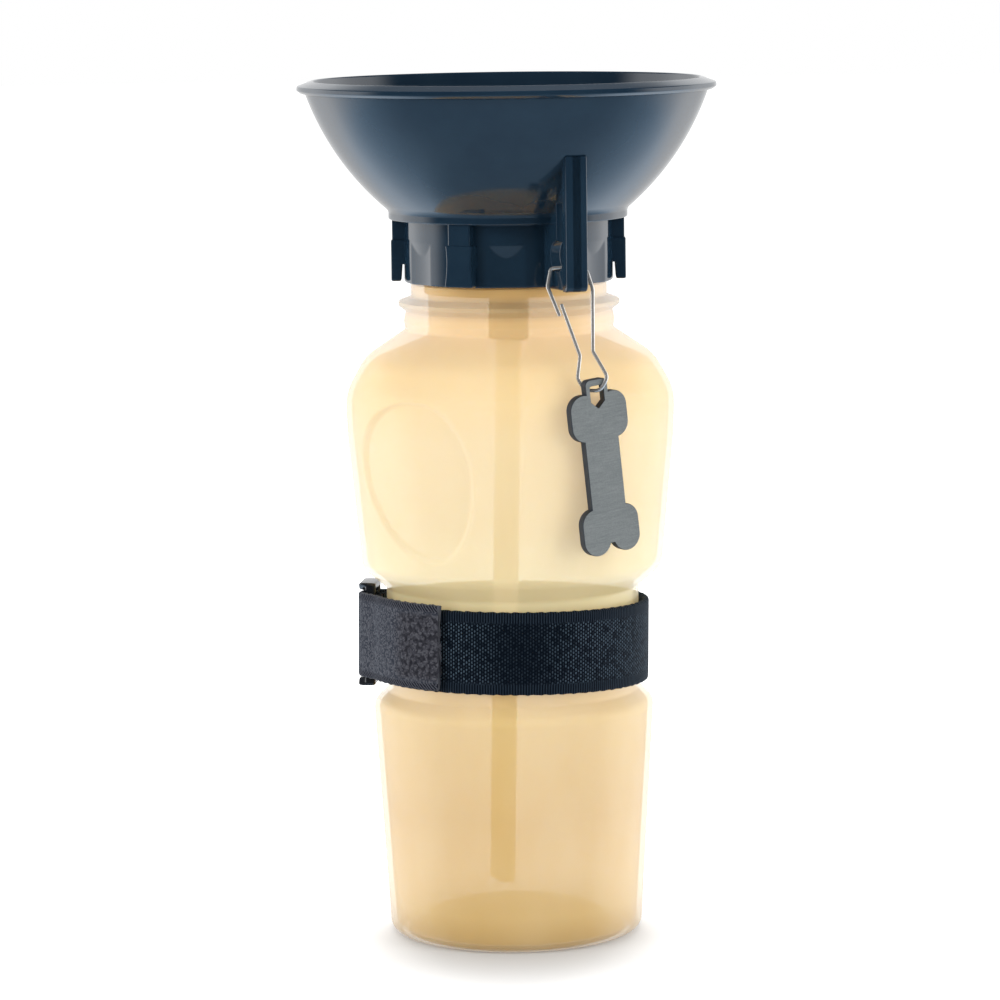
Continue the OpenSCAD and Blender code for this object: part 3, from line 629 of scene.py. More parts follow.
def makeBottle(finish):
    profile, span = bottleProfile(), thumb["span"]
    around = np.concatenate([part for a in thumbAzimuths for part in (
        np.arange(a - span, a + span, thumb["fineStep"]),
        np.arange(a + span, a + 180 - span, thumb["coarseStep"]))])
    grid = turned(profile, azimuths=around)
    r, z = profile[:, :1], profile[:, 1:2]
    depth = sum(hollow(around, r, z, a) for a in thumbAzimuths)
    sink(grid, around, np.where((r > 30) & (z > upperLowZ), depth, 0))
    dress(skin("bottleShell", grid, sharpDeg=50, poles=True), finish, "bottle", "bottle", "bottle_body")
    ridge = ridgeGrid(bottle["neck"] - bottle["sunk"], bottle["neck"] + bottle["threadHigh"], threadLow)
    dress(skin("neckThread", ridge, poles=True, sharpDeg=60), finish, "bottle", "bottle")


makeBottle(pearlPlastic())
print("bottle: shell and thread")


# Drinking bowl

bowl = {
    "radius": 52.5, "top": 216.4, "wall": 2.0, "curve": 67.5, "collarLow": 165.8, "collarTop": 182.9,
    "collar": 26.2, "lugOut": 3.2, "lugFree": 4.5, "lugNarrow": 3.3, "lugNarrowZ": 6.5, "lugHead": 2.95,
    "tabAzimuth": 22.3, "tab": 43.7, "tabThick": 2.9, "tabWide": 5.6, "tabTop": 198.8, "web": 2.6,
    "keyRound": 3.8, "keySlot": 3.6, "keyHeight": 8.2, "keyMargin": 3.1, "slotTop": 13, "strainer": 13,
    "scallopRadius": 30, "scallopDeep": 0.75, "scallopTop": 10.6, "roofSteep": 4.4, "sealSection": 1.05,
    "drains": 6, "drainRadius": 1.9, "drainCircle": 6.6, "stem": 2.6, "bore": 24.2,
}
lugAzimuths = [90, 155, 205, 270, 335]
shelf = bowl["collar"] + 3.8
shelfLow = bowl["collarTop"] - 1.3
rimZ = bowl["top"] - 3.4
floorZ = bowl["collarTop"] + 0.7
roofZ = bottle["top"] + 0.4
wallOutside = bulge((shelf + 0.3, bowl["collarTop"] + 1.1), (bowl["radius"] - 2.2, rimZ), bowl["curve"])
sealRing = bottle["bore"] - 0.1 - bowl["sealSection"]
skirtLow = bottle["seat"] + 7.5
stemLow = bottle["seat"] + 6
neckSealZ = skirtLow + 4
keyAt = bowl["tab"] - bowl["tabThick"] - bowl["keyMargin"] - bowl["keyRound"]
keyZ = bowl["collarLow"] + bowl["keyHeight"]


# The bowl's side moved towards its axis, square to the curve
def wallInset(distance):
    ahead = heading(wallOutside)
    return wallOutside + np.stack([-ahead[:, 1], ahead[:, 0]], 1) * distance


def bowlProfile():
    w = bowl
    skirt = bottle["bore"] - 0.4
    grooveIn = sealRing - w["sealSection"] - 0.05
    start = rounded([(w["strainer"] - 0.6, roofZ, 0), (skirt - 3, roofZ, 0.6), (skirt - 3, skirtLow, 0.4),
                     (skirt, skirtLow, 0.4), (skirt, neckSealZ - 1.1, 0.1), (grooveIn, neckSealZ - 1.1, 0),
                     (grooveIn, neckSealZ + 1.1, 0), (skirt, neckSealZ + 1.1, 0.1), (skirt, roofZ, 0.5),
                     (w["bore"], roofZ, 0.5), (w["bore"], w["collarLow"] + 0.3, 0),
                     (w["bore"] + 0.3, w["collarLow"], 0.1), (w["collar"], w["collarLow"], 0.5),
                     (w["collar"], shelfLow, 0.5), (shelf, shelfLow, 0.4), (shelf, shelfLow + 1.7, 0.6),
                     tuple(wallOutside[0]) + (0,)])
    lip = rounded([tuple(wallOutside[-1]) + (0,), (w["radius"] - 0.9, rimZ + 0.3, 0.3),
                   (w["radius"], rimZ + 1, 0.4), (w["radius"] - 0.15, rimZ + 2, 0.4),
                   (w["radius"] - 4.1, w["top"], 0.5), (w["radius"] - 4.4, w["top"] - 2, 0.5),
                   tuple(wallInset(w["wall"])[-3]) + (0,)])
    inside = wallInset(w["wall"])[::-1]
    inside = inside[(inside[:, 1] > floorZ + 1.4) & (inside[:, 1] < w["top"] - 3.4)]
    basin = rounded([tuple(inside[-1]) + (0,), (w["collar"] + 0.6, floorZ + 0.9, 1.5),
                     (w["collar"] - 1.8, floorZ + 0.35, 2), (w["strainer"] + 0.1, floorZ, 0.2),
                     (w["strainer"] + 0.1, floorZ - 1, 0), (w["strainer"] - 0.6, floorZ - 1, 0)])
    line = np.concatenate([start, wallOutside[1:-1], lip, inside[1:-1], basin])
    line = line[np.append(True, np.linalg.norm(np.diff(line, axis=0), axis=1) > 0.01)]
    return refined(line, lambda p: 0.3 if p[1] < w["collarTop"] and p[0] > 25 else 1.6)


# The bowl and collar are one turned skin; between the lugs the collar's side is cut by upright cylinders of
# 30 mm radius, r = c cos a - sqrt(R2 - c2 sin2 a), under a roof that slopes in evenly from a level top edge
def makeBowlShell(finish):
    w = bowl
    profile = bowlProfile()
    around = np.arange(400) * 0.9
    grid = turned(profile, azimuths=around)
    r, z = profile[:, :1], profile[:, 1:2]
    places = np.array([w["tabAzimuth"]] + lugAzimuths + [w["tabAzimuth"] + 360])
    middles = (places[1:] + places[:-1]) / 2
    apart = (around[:, None] - middles + 180) % 360 - 180
    turn = np.radians(np.min(np.abs(apart), 1))
    far = w["collar"] + w["scallopRadius"] - w["scallopDeep"]
    roof = (w["collarLow"] + w["scallopTop"] - z) / w["roofSteep"]
    cut = far * np.cos(turn) - np.sqrt(np.maximum(w["scallopRadius"] ** 2 - (far * np.sin(turn)) ** 2, 0))
    onSide = (r > w["collar"] - 1.2) & (r < w["collar"] + 0.01) & (z < w["collarLow"] + 11)
    depth = np.clip(np.minimum(w["collar"] - cut, roof), 0, w["scallopDeep"])
    sink(grid, around, np.where(onSide, depth, 0))
    shell = skin("bowlShell", grid, wrapRows=True, sharpDeg=45)
    dress(shell, finish, "bowl", "bowl", "drinking_bowl")


# The floor under the strainer, with its round of drain holes, and the stem that carries the valve
def makeDrain(finish):
    circle, count = bowl["drainCircle"], bowl["drains"]
    edge = arc((0, 0), bowl["strainer"] - 0.4, 0, 360, 64)[:-1]
    holes = [arc((circle * cos(a), circle * sin(a)), bowl["drainRadius"], 0, 360, 24)[:-1]
             for a in radians(360 / count) * np.arange(count)]
    points, faces = plateParts([edge] + holes, floorZ - 1 - roofZ, 0.2)
    points[:, 2] += (floorZ - 1 + roofZ) / 2
    dress(evenShading(solid("drainPlate", points, faces)), finish, "bowl", "bowl")
    stem = rounded([(0, stemLow, 0), (bowl["stem"], stemLow, 0.4), (bowl["stem"], roofZ + 0.1, 0),
                    (0, roofZ + 0.1, 0)])
    dress(skin("valveStem", turned(refined(stem, 1.5), 48), poles=True), finish, "bowl", "bowl")


# A block as a skin of level slices, each a rectangle with rounded corners: (height, inner and outer radius,
# half width). Its top and bottom edges are rounded too
def block(slices, corner=0.45):
    quarter = np.linspace(0, pi / 2, 4)
    rows = [(slices[0][0] + corner * (1 - sin(q)), corner * (1 - cos(q)), slices[0]) for q in quarter[::-1]]
    rows += [(one[0], 0.0, one) for one in slices[1:-1]]
    rows += [(slices[-1][0] - corner * (1 - sin(q)), corner * (1 - cos(q)), slices[-1]) for q in quarter]
    grid = []
    for z, inset, (_, inner, outer, half) in rows:
        ring = roundedBox(half - inset, (outer - inner) / 2 - inset, corner, 4)
        grid.append(np.column_stack([ring[:, 0], ring[:, 1] + (outer + inner) / 2, np.full(len(ring), z)]))
    return capped(np.stack(grid))


# Five grip lugs hang from the shelf: each a narrow block over a broader one with hollow flanks, whose lower
# end stands free of the collar
def makeLugs(finish):
    w = bowl
    low, split = w["collarLow"] + 0.3, w["collarLow"] + 10.7
    root, face, free = w["collar"] - 1, w["collar"] + w["lugOut"], w["collarLow"] + w["lugFree"]

    def flank(z):  # half width, least at the narrow place and growing below and above it
        over = z - w["collarLow"] - w["lugNarrowZ"]
        below, above = np.clip(-over / 5.7, 0, 1), np.clip(over / 4.2, 0, 1)
        return w["lugNarrow"] + 0.5 * below ** 1.6 + 0.25 * above ** 1.6

    slot = w["collar"] + 0.65
    lower = [(z, slot - 0.3 * (z - low) / (free - low), face, flank(z)) for z in np.linspace(low, free, 7)]
    lower += [(z, root, face, flank(z)) for z in np.linspace(free + 0.001, split, 8)]
    upper = [(z, root, face - 0.3, w["lugHead"]) for z in (split - 0.5, shelfLow + 0.4)]
    for name, slices in (("lugFeet", lower), ("lugHeads", upper)):
        form = block(slices) * [1, -1, 1]
        for i, azimuth in enumerate(lugAzimuths):
            lug = skin(f"{name}{i}", spun(form, radians(azimuth)), poles=True, sharpDeg=50)
            dress(evenShading(lug), finish, "bowl", "bowl")


# The hanging tab: a thin web with a keyhole, and the upright along its outer edge
def makeTab(finish):
    w = bowl
    a = radians(w["tabAzimuth"])
    out = np.array([sin(a), -cos(a), 0])
    across = np.array([cos(a), sin(a), 0])
    up = np.array([0, 0, 1])
    halfWall = wallInset(w["wall"] / 2)

    def side(inner):
        bar = rounded([(inner, w["collarLow"], 0), (w["tab"], w["collarLow"], 1.4),
                       (w["tab"], w["tabTop"], 0.4), (w["tab"] - 1, w["tabTop"], 0)])
        wall = halfWall[::-1]
        wall = wall[(wall[:, 1] < w["tabTop"] - 0.3) & (wall[:, 0] > inner + 0.2)]
        root = [[w["collar"] - 0.6, w["collarTop"] - 0.3], [inner, w["collarTop"] - 0.5]]
        rest = root if inner < w["collar"] else [[inner, np.interp(inner, halfWall[:, 0], halfWall[:, 1])]]
        return np.concatenate([bar, wall, rest])

    slotOut = keyAt + w["keyRound"]
    slotIn, slotTop = slotOut - w["keySlot"], keyZ + w["slotTop"]
    low = degrees(np.arccos((slotIn - keyAt) / w["keyRound"]))
    hole = np.concatenate([arc((keyAt, keyZ), w["keyRound"], low, 360, 30),
                           rounded([(slotOut, keyZ + 1, 0), (slotOut, slotTop, 0.3), (slotIn, slotTop, 0.3),
                                    (slotIn, keyZ + 6, 0)])])
    for name, outlines, thick, edge in (
            ("tabWeb", [side(w["collar"] - 1), hole], w["web"], 0.25),
            ("tabUpright", [side(w["tab"] - w["tabThick"])], w["tabWide"], 0.4)):
        points, faces = plateParts(outlines, thick, edge)
        plate = solid(name, placed(points, (0, 0, 0), out, up, -across), faces)
        dress(evenShading(plate), finish, "bowl", "bowl")


# Deep navy glossy moulding: almost mirror smooth, with the faint waviness and haze of a moulded skin
def navyGloss():
    f = Finish("navyGloss")
    spot = f.place()
    haze = f.noise(spot, 45, 3, 0.6)
    fine = f.noise(spot, 1400, 2, 0.6)
    colour = f.mix(f.ease(haze, 0.3, 0.75), (0.0075, 0.0200, 0.0370), (0.0105, 0.0265, 0.0460))
    scuff = f.noise(f.stretched(spot, 1, 1, 6), 260, 2, 0.7)
    rough = 0.075 + f.ease(scuff, 0.55, 0.85) * 0.07 + haze * 0.05
    height = f.noise(spot, 70, 1, 0.3) + fine * 0.03
    return f.surface({"Base Color": colour, "Roughness": rough, "IOR": 1.5, "Coat Weight": 0.15,
                      "Coat Roughness": 0.04, "Normal": f.bump(height, 0.00016, 0.5)})


navy = navyGloss()
makeBowlShell(navy)
makeDrain(navy)
makeLugs(navy)
makeTab(navy)
bowlRidge = ridgeGrid(bowl["bore"] + bottle["sunk"], bottle["neck"] + 0.3,
                      threadLow - bottle["threadPitch"] / 2)
dress(skin("bowlThread", bowlRidge, poles=True, sharpDeg=60), navy, "bowl", "bowl")
print("bowl: shell, drain, lugs, tab and thread")


# Water way

tube = {"radius": 3.2, "wall": 0.8, "foot": 12, "lean": 1.3, "gap": 0.1, "slant": 25, "columns": 40}
valve = {"high": 8.4, "radius": 4.2, "nose": 2.2, "bore": 2.62, "low": 2.6, "insertSeal": 3.4}


# Points below the insert, leaned with the tube about the insert's seat
def leaned(grid):
    z, x = swing(grid[..., 2], grid[..., 0], radians(tube["lean"]))
    return np.stack([x, grid[..., 1], z + bottle["seat"]], -1)


def milkyTube():
    f = Finish("milkyTube")
    spot = f.place()
    cloud = f.noise(f.stretched(spot, 1, 1, 0.2), 120, 2, 0.5)
    z = f.axes(spot)[2]
    # Painted light: the tube turns paler near its lower end and up in the upper body, where light through the
    # bottle washes it out
    paintedWashout = f.ease(z, 0.034, 0.004) + f.ease(z, 0.085, 0.12) * 0.65
    colour = f.mix(paintedWashout, f.mix(cloud, (0.91, 0.76, 0.48), (0.95, 0.81, 0.54)), (0.98, 0.88, 0.64))
    # The emission is a painted glow of light coming through the bottle
    return f.surface({"Base Color": colour, "Roughness": 0.3 + cloud * 0.1, "IOR": 1.5,
                      "Emission Color": colour, "Emission Strength": 0.08,
                      "Normal": f.bump(cloud, 0.0001, 0.4)})


def softSeal():
    f = Finish("softSeal")
    spot = f.place()
    cloud = f.noise(spot, 260, 3, 0.6)
    colour = f.mix(cloud, (0.36, 0.38, 0.39), (0.47, 0.49, 0.50))
    return f.surface({"Base Color": colour, "Roughness": 0.42 + cloud * 0.16, "IOR": 1.42,
                      "Subsurface Weight": 0.2, "Subsurface Radius": (0.001, 0.001, 0.001),
                      "Subsurface Scale": 1.0, "Normal": f.bump(f.noise(spot, 1500, 2, 0.6), 0.00008, 0.5)})


def tanInsert():
    f = Finish("tanInsert")
    spot = f.place()
    grain = f.noise(spot, 1100, 2, 0.6)
    cloud = f.noise(spot, 60, 2, 0.5)
    colour = f.mix(cloud, (0.42, 0.31, 0.17), (0.47, 0.35, 0.20))
    return f.surface({"Base Color": colour, "Roughness": 0.32 + grain * 0.14, "IOR": 1.5,
                      "Normal": f.bump(grain, 0.00006, 0.5)})


# The straw, its lower end cut off at a slant over half its width
def makeTube(finish):
    top = -1 - tube["gap"]
    end = top - ((bottle["seat"] - tube["foot"]) / cos(radians(tube["lean"])) + top)
    inner = tube["radius"] - tube["wall"]
    line = rounded([(tube["radius"], top, 0.2), (tube["radius"], end, 0.15), (inner, end, 0.15),
                    (inner, top, 0.2)], True, 30)
    grid = turned(refined(np.concatenate([line, line[:1]]), 8)[:-1], tube["columns"])
    cut = np.maximum(-grid[..., 0] * tan(radians(tube["slant"])), 0)
    grid[..., 2] += cut * np.clip((end + 2 - grid[..., 2]) / 2, 0, 1)
    dress(skin("dipTube", leaned(grid), wrapRows=True, sharpDeg=60), finish, "tube_unit", "tube", "dip_tube")


# Two O-rings, and the plug that caps the bowl's stem
def makeSeals(finish):
    section = np.linspace(0, 2 * pi, 24, endpoint=False)
    ring = np.stack([sealRing + bowl["sealSection"] * np.cos(section),
                     bowl["sealSection"] * np.sin(section)], 1)
    for name, height, body, node in (
            ("insertSeal", bottle["seat"] + valve["insertSeal"], "tube_unit", "insert_seal"),
            ("neckSeal", neckSealZ, "seal_carrier", "neck_seal")):
        dress(skin(name, turned(ring + [0, height], 120), wrapRows=True), finish, body, "seal", node)
    low = bottle["seat"] + valve["low"]
    top, floorOfBore = low + valve["high"], stemLow - 0.02
    out, bore, nose = valve["radius"], valve["bore"], valve["nose"]
    plug = rounded([(0, low - 0.9, 0), (nose - 0.3, low - 0.9, 0.3), (nose, low, 0), (out - 0.3, low, 0.1),
                    (out, low + 0.4, 0.2), (out, top - 0.4, 0.2), (out - 0.3, top, 0.1), (bore, top, 0.1),
                    (bore, floorOfBore, 0), (0, floorOfBore, 0)])
    dress(skin("valvePlug", turned(refined(plug, 1.5), 56), poles=True), finish, "bowl", "seal", "valve_plug")


makeTube(milkyTube())
makeSeals(softSeal())
dress(mergedCopy("tube_insert", "tubeInsert"), tanInsert(), "tube_unit", "insert", "tube_insert")
dress(mergedCopy("strainer_cap", "strainerCap"), navy, "bowl", "bowl", "strainer_cap")
print("water way: tube, insert, seals, valve and strainer")


# Hand strap

strap = {
    "width": 20.6, "thick": 1.5, "tilt": 1.9, "roll": 0.9, "height": 75.1, "gap": 1.0, "patch": 0.7,
    "tailAzimuth": -31, "tailWidth": 21.4, "tailUp": 1.0, "buckleAzimuth": -95, "buckleWide": 12.6,
    "barWide": 2.4, "barThick": 2.6, "barRound": 0.7, "railHigh": 2.0, "settle": 15, "rim": 0.7,
    "step": 0.7, "endStep": 0.34, "endLong": 26,
}
weld = {"along": 1.7, "across": 1.35, "radius": 0.72, "high": 0.34, "from": 0.6, "to": 11.5, "margin": 1.6}
stitch = {"rows": 3, "perRow": 9, "step": 2.1, "long": 1.6, "radius": 0.24, "lean": 20, "bow": 0.12,
          "first": 18, "rowApart": 3.5}
bandRadius = bottle["waist"] + strap["gap"] + strap["thick"] / 2
tailRadius = bandRadius + strap["thick"] + strap["patch"] + 0.1
sewnRadius = bandRadius + strap["thick"] + 0.06
buckleMid = bandRadius + strap["thick"] / 2 + 0.1 + strap["barThick"] / 2
barHalf = (strap["buckleWide"] - strap["barWide"]) / 2
barAzimuth = degrees(np.arctan(barHalf / buckleMid))
barOut = sqrt(barHalf ** 2 + buckleMid ** 2)
barCorner = [strap[k] / 2 - strap["barRound"] for k in ("barWide", "barThick")]
foldRadius = sqrt(barCorner[0] ** 2 + barCorner[1] ** 2) + strap["barRound"] + 0.1 + strap["thick"] / 2
frontAzimuth = strap["buckleAzimuth"] + barAzimuth
rearAzimuth = strap["buckleAzimuth"] - barAzimuth
tailLong = radians(strap["tailAzimuth"] - frontAzimuth) * tailRadius + pi * foldRadius / 2
windowLow = min(-strap["width"] / 2, strap["tailUp"] - strap["tailWidth"] / 2) - 0.1
windowTop = max(strap["width"] / 2, strap["tailUp"] + strap["tailWidth"] / 2) + 0.1


# Points at azimuths and radii about the bottle's axis
def at(azimuth, radius):
    a = np.radians(azimuth)
    return np.stack([radius * np.sin(a), -radius * np.cos(a)], -1)


# Points turned with the strap: first its tilt about x, then its roll about y, then up to its height
def strapPlace(points):
    y, z = swing(points[..., 1], points[..., 2], radians(-strap["tilt"]))
    z, x = swing(z, points[..., 0], radians(strap["roll"]))
    return np.stack([x, y, z + strap["height"]], -1)


# Half a turn round an upright bar of the ring
def fold(azimuth, way):
    turns = np.radians(azimuth - 90 + way * np.linspace(0, 180, 25))
    return at(np.array(azimuth), barOut) + foldRadius * np.stack([np.cos(turns), np.sin(turns)], 1)


# Past a fold the strap comes down to its own radius along half a cosine wave
def settled(radius, past):
    share = np.clip((past - 1) / strap["settle"], 0, 1)
    return radius + (barOut + foldRadius - radius) * (1 + np.cos(pi * share)) / 2


# The sewn end, the rear fold, the band round the bottle, the front fold and the tail, in degrees past a bar
def strapPath():
    sewn = np.linspace(30, 1, 44)
    tail = (strap["tailAzimuth"] - frontAzimuth) * np.linspace(0.03, 1, 60)
    band = np.linspace(3, 339, 340)
    return np.concatenate([
        at(rearAzimuth - sewn, settled(sewnRadius, sewn)), fold(rearAzimuth, 1),
        at(rearAzimuth - band, bandRadius), fold(frontAzimuth, -1)[::-1],
        at(frontAzimuth + tail, settled(tailRadius, tail))])


# Even steps along a path, finer towards its far end
def evenly(path, step, fineStep, fineLength):
    long = np.append(0, np.cumsum(np.linalg.norm(np.diff(path, axis=0), axis=1)))
    coarse = np.arange(0, long[-1] - fineLength, step)
    spots = np.concatenate([coarse, np.linspace(long[-1] - fineLength, long[-1], int(fineLength / fineStep))])
    return np.stack([np.interp(spots, long, path[:, k]) for k in (0, 1)], 1), spots


# The webbing: its section, flat with rounded edges, is carried along the strap's way. Its two long edges
# waver, the tail is a little wider and higher than the band, its end is cut ragged, and welded dots stand
# up in loose rows near that end
def makeStrap(finish):
    s = strap
    path, spots = evenly(strapPath(), s["step"], s["endStep"], s["endLong"])
    ahead = heading(path)
    left = np.stack([-ahead[:, 1], ahead[:, 0]], 1)
    half, thick, rim = s["width"] / 2, s["thick"] / 2, s["rim"]
    flat = np.linspace(-half + rim, half - rim, 60)
    edge = np.radians(np.linspace(90, -90, 7)[1:-1])
    across = np.concatenate([flat, half - rim + rim * np.cos(edge), flat[::-4],
                             -half + rim - rim * np.cos(edge)])
    out = np.concatenate([np.ones(60), np.sin(edge), -np.ones(len(flat[::-4])), -np.sin(edge)]) * thick
    long, last = spots[:, None], spots[-1]
    waver = 0.09 * np.sin(long * 2.1) + 0.06 * np.sin(long * 5.3 + 1)
    v = across[None] * (1 + waver / half)
    tail = smooth(np.clip((long - (last - tailLong - 7)) / 5.5, 0, 1))
    high = v * (1 + tail * (s["tailWidth"] / s["width"] - 1)) + tail * s["tailUp"]
    ragged = 0.28 * np.sin(v * 5.1) + 0.2 * np.sin(v * 11.7 + 2) + 0.12 * np.sin(v * 23 + 1)
    pull = np.clip((long - (last - 0.9)) / 0.9, 0, 1) * ragged
    row = np.round(v / weld["across"])
    column = (last - long - 0.9) / weld["along"] + 0.5 * (row % 2)
    dot = np.sqrt(((column - np.round(column)) * weld["along"]) ** 2
                  + ((v / weld["across"] - row) * weld["across"]) ** 2)
    fromEnd = last - long
    field = (fromEnd > weld["from"]) & (fromEnd < weld["to"])
    field = field & (np.abs(v) < half - weld["margin"]) & (out > 0)
    raised = np.where(field, weld["high"] * np.clip(1 - (dot / weld["radius"]) ** 2, 0, 1), 0)
    ribs = 0.035 * np.sin(long * 2 * pi / 1.05) * np.cos(v * 2 * pi / 1.3)
    lift = np.where(out > 0, raised + ribs, 0) + out
    spot = path[:, None] - left[:, None] * lift[..., None] + ahead[:, None] * pull[..., None]
    grid = capped(np.concatenate([spot, high[..., None]], -1))
    u = np.concatenate([[0], spots, [last]])
    uv = np.stack(np.broadcast_arrays(u[:, None], np.append(across, across[0])[None]), -1)
    band = skin("strapBand", strapPlace(grid), uv=uv, sharpDeg=70, poles=True)
    dress(band, finish, "bottle", "strap", "strap_band")


# Rows of thread that close the loop round the ring's rear bar, each stitch a short bowed strand
def makeStitches(finish):
    share = np.linspace(-1, 1, 9)
    around = np.arange(8) * pi / 4
    size = stitch["radius"] * np.sqrt(np.clip(1 - share ** 4, 0.003, 1))[:, None]
    share = share[:, None]
    strand = np.stack([size * np.cos(around), size * np.sin(around) - stitch["bow"] * share ** 2,
                       np.repeat(share * stitch["long"] / 2, 8, 1)], -1)
    strand = np.concatenate([strand[:1] * [0, 0, 1], strand, strand[-1:] * [0, 0, 1]])
    z, x = swing(strand[..., 2], strand[..., 0], radians(stitch["lean"]))
    strand = np.stack([x, strand[..., 1], z], -1).reshape(-1, 3)
    out = sewnRadius + strap["thick"] / 2 + 0.1
    azimuths = rearAzimuth - stitch["first"] - stitch["rowApart"] * np.arange(stitch["rows"])
    rises = (np.arange(stitch["perRow"]) - stitch["perRow"] // 2) * stitch["step"]
    stitches = [strapPlace(spun(strand + [0, -out, rise], radians(a))) for a in azimuths for rise in rises]
    one = gridFaces(len(share) + 2, 8, False, True)
    faces = np.concatenate([one + i * len(strand) for i in range(len(stitches))])
    piece = solid("strapStitches", np.concatenate(stitches), faces.tolist(), 80)
    joinPoints(piece.data, pointGap, outwards=True)
    dress(piece, finish, "bottle", "thread", "strap_stitches")


# The ring: a rounded section between an outer and an inner outline, each with the same count of points.
# Its two level bars stand out as far as the folded strap
def makeBuckle(finish):
    s = strap
    wide, high = s["buckleWide"] / 2, (windowTop - windowLow) / 2 + s["railHigh"]
    outer = roundedBox(wide, high, 0.9, 10)
    inner = roundedBox(wide - s["barWide"], high - s["railHigh"], 0.4, 10)
    level = np.tile(np.linspace(0, 1, len(outer) // 4), 4).reshape(4, -1)
    level[1::2] = level[1::2, ::-1]
    level = smooth(level).reshape(-1, 1)
    barHalfThick = s["barThick"] / 2
    standOut = level * (foldRadius + s["thick"] / 2 - barHalfThick) / 2
    turns = np.radians(np.arange(0, 360, 15))
    swell, rise = (np.sign(side) * np.abs(side) ** 0.45 for side in (np.cos(turns), np.sin(turns)))
    across = (outer + inner)[:, None] / 2 + (outer - inner)[:, None] / 2 * swell[:, None]
    deep = standOut + rise * (barHalfThick + standOut)
    ring = np.stack([across[..., 0], -deep - buckleMid, across[..., 1] + (windowLow + windowTop) / 2], -1)
    grid = strapPlace(spun(ring, radians(s["buckleAzimuth"])))
    dress(skin("buckleRing", grid, wrapRows=True, sharpDeg=75), finish, "bottle", "buckle", "buckle_ring")


cloth = {"loopLong": 0.68, "loopHigh": 0.92, "rib": 0.66, "speckLong": 0.42, "speckHigh": 0.36, "hem": 0.9}


# Hook-and-loop webbing. The cloth's own map runs along the strap and across it, in millimetres: small loops
# in offset columns on the band with a painted sheen, dimmed as painted shade across its front middle, ribs
# along its edges, and the rougher, greyer hook tail with painted shade between its welded dots
def webbing(length):
    f = Finish("webbing")
    spot = f.place("UV")
    u, v = f.axes(spot)[:2]
    fromEdge = strap["width"] / 2 - f.math("ABSOLUTE", v)
    column = f.math("FLOOR", u / cloth["loopLong"])
    upper = v / cloth["loopHigh"] + f.math("FRACT", column * 0.5)
    inU = f.math("FRACT", u / cloth["loopLong"]) - 0.5
    inV = f.math("FRACT", upper) - 0.5
    seed = f.node("CombineXYZ", {}, {0: column, 1: f.math("FLOOR", upper)})
    chance = f.node("TexWhiteNoise", {"noise_dimensions": "2D"}, {"Vector": seed})
    reach = inU * inU * 5.5 + inV * inV * 3.4
    loop = 1 - f.ease(reach, 0.15, 0.85)
    ribs = f.ease(f.math("SINE", u * (2 * pi / cloth["rib"])), -0.4, 0.8)
    selvedge = 1 - f.ease(fromEdge, 2.3, 3.2)
    tail = f.ease(u, length - tailLong - 1, length - tailLong + 1)
    fuzz = f.noise(spot, 3.2, 3, 0.7)
    grain = f.noise(spot, 2.1, 2, 0.8)
    cells = f.node("TexVoronoi", {"voronoi_dimensions": "2D"},
                   {"Vector": spot, "Scale": 0.8, "Randomness": 0.9})
    field = f.ease(u, length - 15, length - 9) * f.ease(fromEdge, 1.5, 3.5)
    shadedDotGaps = f.ease(cells, 0.34, 0.62) * field
    place = {0: f.math("FLOOR", u / cloth["speckLong"]), 1: f.math("FLOOR", v / cloth["speckHigh"])}
    speck = f.node("TexWhiteNoise", {"noise_dimensions": "2D"}, {"Vector": f.node("CombineXYZ", {}, place)})
    slant = f.ease(f.math("SINE", (u + v) * (2 * pi / cloth["hem"])), -0.1, 0.8)
    # Painted light and shade on the loops: their sheen is dimmed across the band's front middle and full
    # towards its sides
    paintedSideLight = f.ease(f.math("ABSOLUTE", f.axes(f.place())[0] - 0.002), 0.001, 0.016)
    paintedLoopSheen = f.ease(loop * (0.45 + chance * 0.75), 0.35, 0.95) * (0.22 + paintedSideLight * 0.78)
    weave = f.mix(selvedge, f.mix(paintedLoopSheen, (0.0008, 0.0035, 0.0085), (0.052, 0.078, 0.105)),
                  f.mix(ribs * 0.8, (0.0008, 0.0030, 0.0075), (0.018, 0.030, 0.045)))
    felt = f.mix(f.ease(speck * 0.7 + fuzz * 0.3, 0.2, 0.85), (0.024, 0.028, 0.040), (0.090, 0.095, 0.112))
    # Painted shade: the gaps between the tail's welded dots are darkened and the dots' middles left lighter
    hooks = f.mix(shadedDotGaps * 0.75, f.mix(field * 0.35, felt, (0.058, 0.052, 0.058)), (0.012, 0.012, 0.017))
    hem = f.mix(slant, (0.008, 0.009, 0.015), (0.070, 0.074, 0.090))
    colour = f.mix(tail, weave, f.mix(1 - f.ease(fromEdge, 1.3, 2.1), hooks, hem))
    # The tail turns paler over the outermost 0.4 mm of its long edges
    paleTailEdges = f.mix(f.ease(fromEdge, 0.4, 0.0) * tail * 0.6, colour, (0.100, 0.106, 0.120))
    bandHeight = loop * (1 - selvedge) + ribs * selvedge * 0.7
    tailHeight = grain * 0.5 + fuzz * 0.5 - shadedDotGaps * 0.7
    height = bandHeight * (1 - tail) + tailHeight * tail
    return f.surface({"Base Color": paleTailEdges, "Roughness": 0.62 + fuzz * 0.2, "Specular IOR Level": 0.1,
                      "Sheen Weight": 0.09, "Sheen Roughness": 0.35, "Sheen Tint": (0.42, 0.54, 0.70, 1),
                      "Normal": f.bump(height, 0.00025, 0.9)})


def threadFinish():
    f = Finish("sewingThread")
    spot = f.place()
    twist = f.node("Mapping", {}, {"Vector": spot, "Rotation": (0, 0.6, 0), "Scale": (1, 1, 5)})
    ply = f.noise(twist, 1500, 1)
    colour = f.mix(ply, (0.020, 0.022, 0.027), (0.045, 0.048, 0.056))
    return f.surface({"Base Color": colour, "Roughness": 0.55 + ply * 0.2,
                      "Normal": f.bump(ply, 0.0001, 0.8)})


